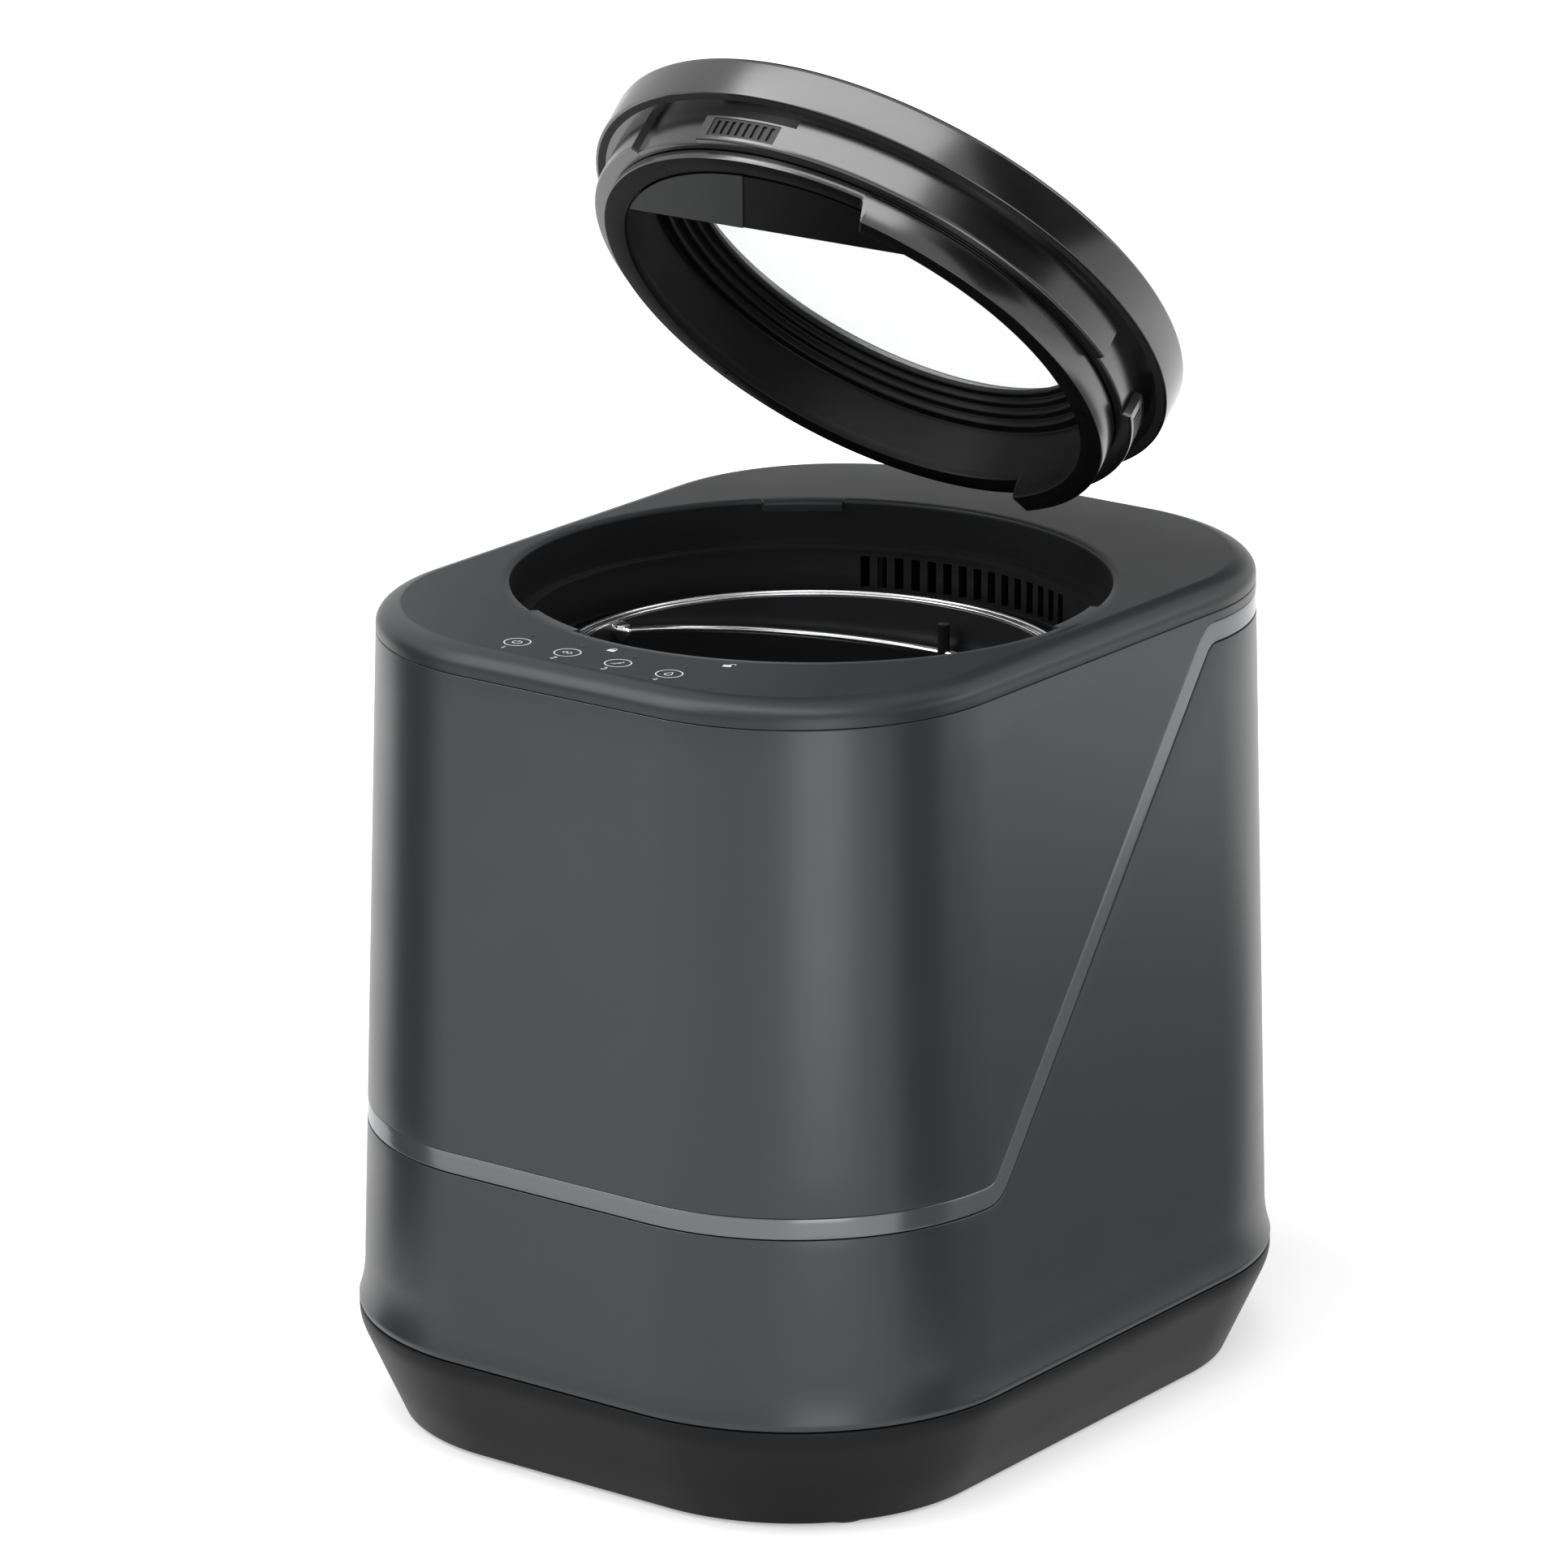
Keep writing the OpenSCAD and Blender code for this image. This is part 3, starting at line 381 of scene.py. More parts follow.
def trim_height(y, off):
    """Height of the line that runs along the trim band at a distance off to its upper side."""
    low, high = trim_front_z + off, trim_rear_z + off
    rise = math.tan(trim_slope)
    low_r, high_r = trim_bend - off, trim_bend + off
    turn = math.tan(trim_slope / 2)
    y_low = (low - trim_side_z) / rise - off / math.sin(trim_slope) - low_r * turn
    y_high = (high - trim_side_z) / rise - off / math.sin(trim_slope) + high_r * turn
    if y <= y_low:
        return low
    if y >= y_high:
        return high
    if y < y_low + low_r * math.sin(trim_slope):
        return low + low_r - math.sqrt(low_r**2 - (y - y_low) ** 2)
    if y > y_high - high_r * math.sin(trim_slope):
        return high - high_r + math.sqrt(high_r**2 - (y_high - y) ** 2)
    return trim_side_z + (y + off / math.sin(trim_slope)) * rise


def line_height(column, off):
    """Height where a plan column meets the line at that distance from the trim band's middle.

    The wall leans, so the height is found in a few rounds, each most of the way to the next.
    """
    z = trim_front_z
    rounds = 12
    most = 0.8
    for _ in range(rounds):
        z = mix(z, trim_height(column[1] + column[3] * shell_r(z), off), most)
    return z


def wall_point(column, z, inset=0.0):
    """The point of the shell's wall on a plan column at a height, set in by an inset."""
    x, y, out_x, out_y = column
    reach = shell_r(z) - inset
    return (x + out_x * reach, y + out_y * reach, z)


def line_row(off, inset):
    """A row that runs along the trim band."""
    return [wall_point(c, line_height(c, off), inset) for c in columns]


def level_row(z, inset):
    """A row at one height."""
    return [wall_point(c, z, inset) for c in columns]


def share_row(low_off, high, share):
    """A row part of the way from a line beside the trim up, or down, to a level."""
    return [wall_point(c, mix(line_height(c, low_off), high, share)) for c in columns]


shell_steps = 10
seam_gap = 0.15
front_rows = [line_row(trim_half, tuck), line_row(trim_half, edge_round + edge_back)]
front_rows += [line_row(trim_half + down, inset) for inset, down in reversed(quarter(edge_round))]
front_rows += [
    share_row(trim_half + edge_round, seam_z - seam_gap - edge_round, (i + 1) / (shell_steps + 1))
    for i in range(shell_steps)
]
front_rows += [level_row(seam_z - seam_gap - down, inset) for inset, down in quarter(edge_round)]
front_rows += [level_row(seam_z - seam_gap, tuck)]
casing_front = skin("casing_front", front_rows)

foot_gap = 0.1
foot_round = 0.6
swell_steps = 24
rear_rows = [level_row(base_seam_z + foot_gap, tuck)]
rear_rows += [
    level_row(base_seam_z + foot_gap + down, inset) for inset, down in reversed(quarter(foot_round))
]
rear_rows += [
    level_row(mix(base_seam_z + foot_gap + foot_round, straight_z, (i + 1) / swell_steps), 0.0)
    for i in range(swell_steps)
]
rear_rows += [
    share_row(-trim_half - edge_round, straight_z, 1 - (i + 1) / (shell_steps + 1))
    for i in range(shell_steps)
]
rear_rows += [line_row(-trim_half - down, inset) for inset, down in quarter(edge_round)]
rear_rows += [line_row(-trim_half, tuck)]
casing_rear = skin("casing_rear", rear_rows)

# The back has a wide opening for the filter drawer and a small one behind the inlet's flange.
drawer_low, drawer_high = measured("filter_drawer")
inlet_low, inlet_high = measured("mains_inlet")
drawer_play = 0.5
flange_lap = 2.0
back_openings = [
    (low.x - play, high.x + play, low.z - play, high.z + play)
    for low, high, play in ((drawer_low, drawer_high, drawer_play), (inlet_low, inlet_high, -flange_lap))
]
opening_wall = 3.0
opening_round = 0.4
cut_reach = 15.0
hair = 0.01


def cut_opening(piece, left, right, low, high):
    """Cuts an upright opening through the back of a piece, with walls behind its rounded edge."""
    mesh = bmesh.new()
    mesh.from_mesh(piece.data)
    across, up = (1, 0, 0), (0, 0, 1)
    sides = [
        ((left, 0, 0), across), ((right, 0, 0), across),
        ((0, 0, low), up), ((0, 0, high), up),
    ]

    def near(place, reach):
        x, y, z = place / mm
        return y > corner_y and left - reach < x < right + reach and low - reach < z < high + reach

    for place, way in sides:
        faces = [face for face in mesh.faces if near(face.calc_center_median(), cut_reach)]
        parts = set(faces) | {e for f in faces for e in f.edges} | {v for f in faces for v in f.verts}
        bmesh.ops.bisect_plane(mesh, geom=list(parts), plane_co=Vector(place) * mm, plane_no=way)
    inside = [face for face in mesh.faces if near(face.calc_center_median(), 0)]
    bmesh.ops.delete(mesh, geom=inside, context="FACES")
    rim = [e for e in mesh.edges if e.is_boundary and all(near(v.co, hair) for v in e.verts)]
    walls = bmesh.ops.extrude_edge_only(mesh, edges=rim)["geom"]
    for corner in {part for part in walls if isinstance(part, bmesh.types.BMVert)}:
        corner.co.y -= opening_wall * mm
    bmesh.ops.bevel(
        mesh, geom=rim, affect="EDGES", segments=2, profile=0.5,
        offset=opening_round * mm, offset_type="OFFSET", clamp_overlap=True,
    )
    bmesh.ops.recalc_face_normals(mesh, faces=mesh.faces)
    mesh.to_mesh(piece.data)
    mesh.free()
    smooth(piece.data, crease_turn)


for opening in back_openings:
    cut_opening(casing_rear, *opening)


cloud_scale = 9.0
grain_scale = 2600
handling_scale = 34
grain_depth = 0.000015
rub_reach = 0.0005
rough_spread = 0.05
rub_polish = 0.06


def plastic(name, tone, rough, shine, grain=0.5, fleck=0.06, wear=0.018):
    """Moulded plastic: fine spark-eroded grain, faint clouds, soft handling marks, rubbed edges."""
    finish = Finish(bpy.data.materials.new(name))
    shader = finish.tree.nodes["Principled BSDF"]
    place = finish.place()
    clouds = finish.noise(cloud_scale, 4, place)
    fine = finish.noise(grain_scale, 2, place)
    handled = finish.noise(handling_scale, 5, place)
    rubbed = finish.edge(rub_reach) * finish.window(handled, start=0.35, end=0.6)
    dark = tuple(c * (1 - fleck) for c in tone)
    light = tuple(c * (1 + fleck) for c in tone)
    worn = tuple(c * 1.15 + wear for c in tone)
    mottled = finish.between(clouds * 0.6 + fine * 0.4, dark, light)
    finish.feed(shader.inputs["Base Color"], finish.between(rubbed, mottled, worn))
    evenness = finish.spread(handled * 0.7 + fine * 0.3, rough - rough_spread, rough + rough_spread)
    finish.feed(shader.inputs["Roughness"], evenness - rubbed * rub_polish)
    finish.feed(shader.inputs["Specular IOR Level"], shine)
    bump_inputs = {"Strength": grain, "Distance": grain_depth, "Height": fine}
    finish.feed(shader.inputs["Normal"], finish.node("ShaderNodeBump", {}, bump_inputs))
    return finish


shell_plastic = plastic("shell_plastic", (0.0213, 0.0230, 0.0256), 0.33, 0.4, grain=0.35)


def fit(piece, body, slot_name, finish, *nodes):
    """Puts a finish on a piece, lets it ride on its body and stand for the nodes named."""
    piece.data.materials.clear()
    piece.data.materials.append(finish.owner)
    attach(piece, body)
    if nodes:
        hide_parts(*nodes)


fit(casing_front, "base", "shell_plastic", shell_plastic, "front_shell")
fit(casing_rear, "base", "shell_plastic", shell_plastic, "rear_shell")


# The trim band: one smooth satin strip that runs level across the front, climbs the sides on a
# slant and runs level again under the deck at the back. It is pressed into the gap between the
# shells and lies a hair under their faces.
trim_round = 0.45
trim_inset = 0.15
trim_gap_low = 0.4
trim_gap_high = 0.15
trim_low = -trim_half + trim_gap_low
trim_high = trim_half - trim_gap_high
trim_rows = [line_row(trim_low, tuck)]
trim_rows += [line_row(trim_low + down, trim_inset + inset) for inset, down in reversed(quarter(trim_round))]
trim_rows += [
    line_row(mix(trim_low + trim_round, trim_high - trim_round, i / 4), trim_inset) for i in (1, 2, 3)
]
trim_rows += [line_row(trim_high - down, trim_inset + inset) for inset, down in quarter(trim_round)]
trim_rows += [line_row(trim_high, tuck)]
trim_strip = skin("trim_strip", trim_rows)
trim_satin = plastic("trim_satin", (0.110, 0.114, 0.119), 0.2, 0.8, grain=0.15, fleck=0.04)
trim_satin.feed(trim_satin.tree.nodes["Principled BSDF"].inputs["Metallic"], 0.55)
fit(trim_strip, "base", "trim_satin", trim_satin, "trim_band")


# The base: a darker moulded skirt that draws in towards the floor under a rounded shoulder,
# with four round rubber feet under it.
foot_z = measured("base_skirt")[0].z
base_step_in = 0.1
base_draw_in = 17.0
shoulder_drop = 8.4
base_top_r = shell_foot_r + swell - base_step_in
floor_r = base_top_r - base_draw_in
shoulder_z = base_seam_z - shoulder_drop
base_line = [
    (floor_r - 3, foot_z + 0.5), (floor_r - 1.2, foot_z), (floor_r - 0.4, foot_z + 0.15),
    (floor_r + 0.25, foot_z + 0.7), (mix(floor_r, base_top_r - 1.4, 0.5), mix(foot_z, shoulder_z, 0.5)),
    (base_top_r - 1.75, shoulder_z - 0.8), (base_top_r - 1.1, shoulder_z + 0.9),
    (base_top_r - 0.65, shoulder_z + 2.2), (base_top_r - 0.32, shoulder_z + 3.4),
    (base_top_r - 0.1, shoulder_z + 4.7), (base_top_r, shoulder_z + 6.2), (base_top_r, base_seam_z - 1.0),
    (base_top_r - 0.1, base_seam_z - 0.6), (base_top_r - 0.35, base_seam_z - 0.4),
    (base_top_r - 0.8, base_seam_z - 0.35), (base_top_r - 4, base_seam_z - 0.35),
]
base_rows = [[(x + nx * r, y + ny * r, z) for x, y, nx, ny in columns] for r, z in base_line]
base_shell = skin("base_shell", base_rows, crease=50)
base_plastic = plastic("base_plastic", (0.0085, 0.0087, 0.0091), 0.42, 0.1, grain=0.8)
fit(base_shell, "base", "base_plastic", base_plastic, "base_skirt")


liner_low, liner_high = measured("well_liner")
axis_y = (liner_high.y + liner_low.y) / 2


def turned(name, outline, centre=(0.0, axis_y), steps=180, place=None):
    """A round piece from its outline of (radius, height) points, outside upwards."""
    turns = [2 * math.pi * i / steps for i in range(steps)]
    rows = [
        [(centre[0] + r * math.cos(t), centre[1] + r * math.sin(t), z) for t in turns]
        for r, z in outline
    ]
    if place:
        rows = [[place(point) for point in row] for row in rows]
    return skin(name, rows)


foot_r = 11.0
foot_share_x = 0.66
foot_share_y = 0.52
rubber = plastic("rubber", (0.012, 0.012, 0.012), 0.7, 0.25, grain=0.9)
foot_line = [
    (0.01, 0.0), (foot_r - 1.2, 0.0), (foot_r - 0.5, 0.2),
    (foot_r - 0.1, 0.6), (foot_r, 0.9), (foot_r, foot_z),
]
foot_x = corner_x + floor_r * foot_share_x
foot_y = corner_y + floor_r * foot_share_y
feet = [
    turned(f"foot_{side}_{end}", foot_line, (sx * foot_x, sy * foot_y), steps=48)
    for side, sx in (("left", -1), ("right", 1))
    for end, sy in (("front", -1), ("rear", 1))
]
for foot in feet:
    fit(foot, "base", "rubber", rubber)
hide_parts("rubber_feet")


# The deck: a flat cover with a broad rounded edge that starts at a soft crease, and the round
# opening with three short lugs that hold the lid.
liner_lap = 2.4
opening_r = (liner_high.x - liner_low.x) / 2 - liner_lap
deck_round_in = 12.0
deck_round_down = 7.8
deck_crease_turn = 78.0
deck_steps = 14
lug_count = 3
lug_pitch = 120.0
lug_reach = 3.2
lug_half = 8.0
lug_soft = 0.15
lug_first = -112.0
lug_h = 4.0
lug_foot = deck_z - lug_h
mouth_flat = 4.0
mouth_r = opening_r + mouth_flat
deck_gap = 0.15
deck_lip = 0.3
crease_soft = 0.3
deck_flat_in = 3.0
crease_drop = deck_round_down * (1 - math.sin(math.radians(deck_crease_turn)))
deck_line = [(shell_top_r - tuck, seam_z + deck_gap), (shell_top_r - deck_lip, seam_z + deck_gap)]
deck_line += [
    (shell_top_r - inset, seam_z + deck_gap + down) for inset, down in reversed(quarter(deck_lip))
]
deck_line += [
    (
        shell_top_r - deck_round_in * (1 - math.cos(turn)),
        deck_z + crease_drop - deck_round_down * (1 - math.sin(turn)),
    )
    for turn in [math.radians(deck_crease_turn * i / deck_steps) for i in range(deck_steps + 1)]
]
crease_r = deck_line[-1][0]
deck_line += [(crease_r - crease_soft, deck_z), (crease_r - deck_flat_in, deck_z)]
deck_rows = [[(x + nx * r, y + ny * r, z) for x, y, nx, ny in columns] for r, z in deck_line]
rim_row = []
for x, y, _ in deck_rows[-1]:
    turn = math.atan2(y - axis_y, x)
    rim_row.append((mouth_r * math.cos(turn), axis_y + mouth_r * math.sin(turn), deck_z))
deck_rows += [
    [tuple(mix(a, b, share) for a, b in zip(p, q)) for p, q in zip(deck_rows[-1], rim_row)]
    for share in (0.33, 0.67, 1.0)
]
deck_top = skin("deck_top", deck_rows)


def lug_share(turn):
    """1 on a lug, 0 off it, with a short round end."""
    apart = min(abs((turn - lug_first - lug_pitch * i + 180) % 360 - 180) for i in range(lug_count))
    return max(0.0, min(1.0, (lug_half + lug_soft - apart) / (2 * lug_soft)))


lug_ends = [
    (lug_first + lug_pitch * i + side * (lug_half + off)) % 360
    for i in range(lug_count)
    for side in (-1, 1)
    for off in (-lug_soft, -lug_soft / 3, lug_soft / 3, lug_soft)
]
mouth_turns = sorted([float(a) for a in range(360)] + lug_ends)


def mouth_row(extra, z, with_lugs=True):
    """A row round the opening at a height, wider than it by extra."""
    row = []
    for turn in mouth_turns:
        reach = opening_r + extra - (lug_reach * lug_share(turn) if with_lugs else 0.0)
        a = math.radians(turn)
        row.append((reach * math.cos(a), axis_y + reach * math.sin(a), z))
    return row


ledge_z = measured("well_liner")[1].z
mouth_rows = [mouth_row(mouth_flat, deck_z, with_lugs=False)]
mouth_rows += [mouth_row(0.8, deck_z), mouth_row(0.25, deck_z - 0.2), mouth_row(0.0, deck_z - 0.7)]
mouth_rows += [mouth_row(0.0, deck_z - 1.6), mouth_row(0.0, lug_foot + 0.2)]
mouth_rows += [mouth_row(0.0, lug_foot, with_lugs=False)]
deck_mouth = skin("deck_mouth", mouth_rows)
collar_in = 0.06
collar_levels = (deck_z - 1.5, deck_z - 9, ledge_z + 0.05)
well_collar = skin("well_collar", [mouth_row(-collar_in, z, with_lugs=False) for z in collar_levels])
deck_plastic = plastic("deck_plastic", (0.0188, 0.0200, 0.0217), 0.36, 0.3, grain=0.5)
fit(deck_top, "base", "deck_plastic", deck_plastic, "deck_cover")
fit(deck_mouth, "base", "deck_plastic", deck_plastic)
well_black = plastic("well_black", (0.008, 0.008, 0.0085), 0.38, 0.3, grain=0.6)
fit(well_collar, "base", "black_plastic", well_black)


# The touch panel: four rings with a plain sign in each, a number under it, a small light beside
# it, and the two padlock signs by the opening. All are printed flat on the deck in pale ink.
ink_t = 0.06
print_z = deck_z + ink_t
line_w = 0.45
button_r = 5.2
button_first = -35.0
button_pitch = 23.6
panel_y = measured("panel_marks")[0].y + button_r
number_drop = 8.4
light_first = -36.0
light_pitch = 24.0
light_rise = 10.0
lock_margin = 9.5


def stroke(path, width, closed=False):
    """A printed line of a width along a path of (x, y) points."""
    points, faces = [], []
    count = len(path)
    for i, (x, y) in enumerate(path):
        before = path[(i - 1) % count] if closed or i > 0 else path[i]
        after = path[(i + 1) % count] if closed or i < count - 1 else path[i]
        dx, dy = after[0] - before[0], after[1] - before[1]
        length = math.hypot(dx, dy) or 1.0
        side = (-dy / length * width / 2, dx / length * width / 2)
        points += [(x + side[0], y + side[1]), (x - side[0], y - side[1])]
    for i in range(count if closed else count - 1):
        j = (i + 1) % count
        faces.append((2 * i, 2 * i + 1, 2 * j + 1, 2 * j))
    return points, faces


def arc(centre, radius, start, end, steps=24):
    """Points of an arc from one angle to another."""
    turns = [math.radians(mix(start, end, i / steps)) for i in range(steps + 1)]
    return [(centre[0] + radius * math.cos(t), centre[1] + radius * math.sin(t)) for t in turns]


def printed(name, strokes, centre, turn=0.0):
    """One flat print made of several strokes, turned and set at its place on the deck."""
    c, s = math.cos(math.radians(turn)), math.sin(math.radians(turn))
    points, faces = [], []
    for stroke_points, stroke_faces in strokes:
        start = len(points)
        points += [
            (centre[0] + x * c - y * s, centre[1] + x * s + y * c, print_z) for x, y in stroke_points
        ]
        faces += [tuple(start + i for i in face) for face in stroke_faces]
    return make_piece(name, points, faces)


ring_sides = 48
ring_path = arc((0, 0), button_r - line_w / 2, 0, 360 - 360 / ring_sides, ring_sides - 1)
ring = stroke(ring_path, line_w, closed=True)
power_sign = [stroke(arc((0, -0.1), 1.75, 125, 415), line_w), stroke([(0, 0.2), (0, 2.1)], line_w)]
cut_sign = [
    stroke([(-2.1, 0), (-1.0, 1.1), (0.1, 0), (-1.0, -1.1)], line_w, closed=True),
    stroke([(2.1, 0), (1.0, 1.1), (-0.1, 0), (1.0, -1.1)], line_w, closed=True),
]
leaf_sign = [
    stroke(arc((-1.5, 1.5), 2.6, -80, 20), line_w),
    stroke(arc((2.1, -1.1), 2.6, 100, 200), line_w),
    stroke([(-1.9, -1.9), (1.0, 1.2)], line_w * 0.8),
]
drop_sign = [
    stroke(arc((0, -0.6), 1.4, 150, 390), line_w),
    stroke([(-1.2, 0.1), (0, 2.3), (1.2, 0.1)], line_w),
]
digits = {
    "1": [[(-0.5, 0.8), (0.1, 1.3), (0.1, -1.3)]],
    "2": [arc((0, 0.6), 0.75, 160, -40, 10) + [(-0.75, -1.3), (0.8, -1.3)]],
    "3": [arc((0, 0.65), 0.65, 150, -80, 10), arc((0, -0.6), 0.75, 80, -150, 10)],
    "4": [[(0.35, -1.3), (0.35, 1.3), (-0.8, -0.5), (0.9, -0.5)]],
}
print_ink = plastic("print_ink", (0.72, 0.73, 0.74), 0.45, 0.4, grain=0.1, fleck=0.03)
marks = []
signs = {"power": power_sign, "cut": cut_sign, "leaf": leaf_sign, "drop": drop_sign}
for i, (sign, strokes) in enumerate(signs.items()):
    x = button_first + button_pitch * i
    marks.append(printed(f"button_{sign}", [ring, *strokes], (x, panel_y)))
    number = [stroke(path, line_w) for path in digits[str(i + 1)]]
    marks.append(printed(f"button_number_{i + 1}", number, (x, panel_y - number_drop)))
lock_body = stroke([(-1.6, 0), (1.6, 0)], 2.4)
lock_r = opening_r + lock_margin
lock_turn = 22.0
bow_shift = 1.8
for name, turn, shift in (("locked", 0.0, 0.0), ("unlocked", lock_turn, bow_shift)):
    bow = stroke(arc((shift, 1.5), 1.1, 0, 180, 12), 0.4)
    a = math.radians(turn - 90)
    place = (lock_r * math.cos(a), axis_y + lock_r * math.sin(a))
    marks.append(printed(f"sign_{name}", [lock_body, bow], place, turn))
for mark in marks:
    fit(mark, "base", "panel_print", print_ink)
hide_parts("panel_marks")

light_glass = plastic("light_glass", (0.02, 0.02, 0.02), 0.2, 0.5, grain=0.05)
lights = [
    turned(
        f"light_{i + 1}",
        [(1.0, deck_z + 0.02), (0.95, deck_z + 0.1), (0.5, deck_z + 0.13), (0.01, deck_z + 0.14)],
        (light_first + light_pitch * i, panel_y + light_rise),
        steps=24,
    )
    for i in range(4)
]
for light in lights:
    fit(light, "base", "panel_print", light_glass)
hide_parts("indicator_lights")


# The bucket's rim: rolled bright steel with an outer and an inner bead and a groove between.
# The carrying bail is a bent rod of the same steel, with a black finger tab in its middle.
rim_low, rim_high = measured("bucket_rim")
rim_r = (rim_high.x - rim_low.x) / 2
rim_z = rim_high.z
outer_bead = 0.9
inner_bead = 0.7
fine_steps = 256
rim_line = [(rim_r - 0.05, rim_low.z), (rim_r - 0.05, rim_z - 1.0)]
rim_line += arc((rim_r - 0.95, rim_z - outer_bead), outer_bead, 0, 180, steps=8)
rim_line += [(rim_r - 2.0, rim_z - 1.5), (rim_r - 4.2, rim_z - 1.5)]
rim_line += arc((rim_r - 5.1, rim_z - inner_bead), inner_bead, 0, 180, steps=8)
rim_line += [(rim_r - 5.8, rim_z - 2.4)]
bright_steel = plastic("bright_steel", (0.78, 0.78, 0.79), 0.17, 0.5, grain=0.05, fleck=0.03)
bright_steel.feed(bright_steel.tree.nodes["Principled BSDF"].inputs["Metallic"], 1.0)
rolled_rim = turned("rolled_rim", rim_line, steps=fine_steps)
fit(rolled_rim, "bucket", "bright_steel", bright_steel, "bucket_rim")


# The lid is drawn open, tipped about a line behind the opening at the height of the deck. Its
# pieces are set out on its own axis, with its seat at zero, and then tipped.
lid_open = math.radians(47)
pole_back = 143.0
pole_rise = 3.0
pole_y = axis_y + pole_back
pole_z = deck_z + pole_rise
seat_gap = 0.3


def tipped(point):
    """A point of the closed lid, from its own seat and axis, as the lid hangs open."""
    x, y, z = point
    y, z = y + axis_y - pole_y, z + deck_z + seat_gap - pole_z
    c, s = math.cos(lid_open), math.sin(lid_open)
    return (x, pole_y + y * c + z * s, pole_z - y * s + z * c)


def rounded(corners, steps=4):
    """An open outline whose corners (radius, height, round) are bent by their round."""
    points = []
    most_cut = 0.48
    for i, (x, y, bend) in enumerate(corners):
        if bend == 0:
            points.append((x, y))
            continue
        ends = []
        for ex, ey, _ in (corners[i - 1], corners[i + 1]):
            length = math.hypot(ex - x, ey - y)
            cut = min(bend, most_cut * length)
            ends.append(((ex - x) / length * cut, (ey - y) / length * cut))
        for k in range(steps + 1):
            t = k / steps
            a, b = (1 - t) ** 2, t**2
            points.append((x + a * ends[0][0] + b * ends[1][0], y + a * ends[0][1] + b * ends[1][1]))
    return points


# The lid's rim: a glossy black moulded cap with a rounded shoulder. A fine parting groove runs
# round its foot, where it meets the locking band.
lid_r = opening_r + 5.7
lid_rim_h = 17.8
band_r = opening_r - 1.6
band_h = 16.2
band_in = band_r - 4.4
skirt_r = opening_r - 8
skirt_in = skirt_r - 9
window_r = (measured("window_glass")[1].x - measured("window_glass")[0].x) / 2
rim_outline = rounded([
    (band_in, 0.0, 0), (lid_r, 0.0, 0.5),
    (lid_r, lid_rim_h - 2.4, 0.8), (lid_r - 1.2, lid_rim_h - 0.9, 0.8),
    (lid_r - 6, lid_rim_h - 0.2, 2), (window_r + 3, lid_rim_h - 0.6, 1.5),
    (window_r + 0.4, lid_rim_h - 0.9, 0.6), (window_r + 0.4, lid_rim_h - 5, 0),
])
lid_cap = turned("lid_cap", rim_outline, (0.0, 0.0), fine_steps, tipped)
lid_gloss = plastic("lid_gloss", (0.004, 0.004, 0.0044), 0.22, 1.0, grain=0.12, fleck=0.1)
fit(lid_cap, "lid", "lid_gloss", lid_gloss, "lid_rim")


# The locking band under the rim: three ways in for the lugs, three locked places, and a ribbed
# spring pad in each, with eight slots.
lug_play = 1.5
entry_first = lug_first - lug_half - lug_play
entry_end = 20.5
entry_depth = 3.0
place_start = 20.0
place_end = 41.5
place_low = -5.2
place_high = 2.0
place_depth = 3.2
pad_start = 23.0
pad_end = 38.5
pad_low = -14.2
pad_high = -6.2
pad_depth = 3.4
soft_turn = 0.12
soft_h = 0.1
lid_turns = [1.5 * i for i in range(240)]


def soft_step(value, soft):
    """0 below minus soft, 1 above soft and a straight ramp between."""
    return max(0.0, min(1.0, (value + soft) / (2 * soft)))


def in_span(turn, start, end):
    """1 inside a span that repeats three times round the band, 0 outside it."""
    local = (turn - entry_first - start + lug_pitch / 2) % lug_pitch - lug_pitch / 2
    return soft_step(local, soft_turn) * soft_step(end - start - local, soft_turn)


def in_height(z, low, high):
    """1 between two heights, 0 outside them."""
    return soft_step(z - low, soft_h) * soft_step(high - z, soft_h)


def band_depth(turn, z):
    """How deep the band's face lies under its full radius."""
    entry = entry_depth * in_span(turn, 0, entry_end)
    place = place_depth * in_span(turn, place_start, place_end) * in_height(z, place_low, place_high)
    pad = pad_depth * in_span(turn, pad_start, pad_end) * in_height(z, pad_low, pad_high)
    return max(entry, place, pad)


def lid_point(reach, turn, z):
    """A point at a radius, a turn round the lid's axis and a height from its seat."""
    a = math.radians(turn)
    return tipped((reach * math.cos(a), reach * math.sin(a), z))


def band_row(z, inset):
    """A row of the band's face at a height, set in by an inset."""
    return [lid_point(band_r - inset - band_depth(turn, z), turn, z) for turn in band_turns]


span_ends = [
    (entry_first + lug_pitch * i + end + off) % 360
    for i in range(lug_count)
    for end in (0, place_start, entry_end, pad_start, pad_end, place_end)
    for off in (-soft_turn, soft_turn)
]
band_turns = sorted(set(lid_turns + span_ends))
band_steps = [z + off for z in (pad_low, pad_high, place_low) for off in (-soft_h, soft_h)]
band_foot = [(-band_h, 1.0), (0.1 - band_h, 0.6), (0.4 - band_h, 0.2), (0.9 - band_h, 0.0)]
band_rows = [[lid_point(skirt_r, turn, -band_h) for turn in band_turns]]
band_rows += [band_row(z, inset) for z, inset in band_foot]
band_rows += [band_row(z, 0.0) for z in (*band_steps, -0.35, 0.0)]
lock_band = skin("lock_band", band_rows)
fit(lock_band, "lid", "lid_gloss", lid_gloss, "lid_band")


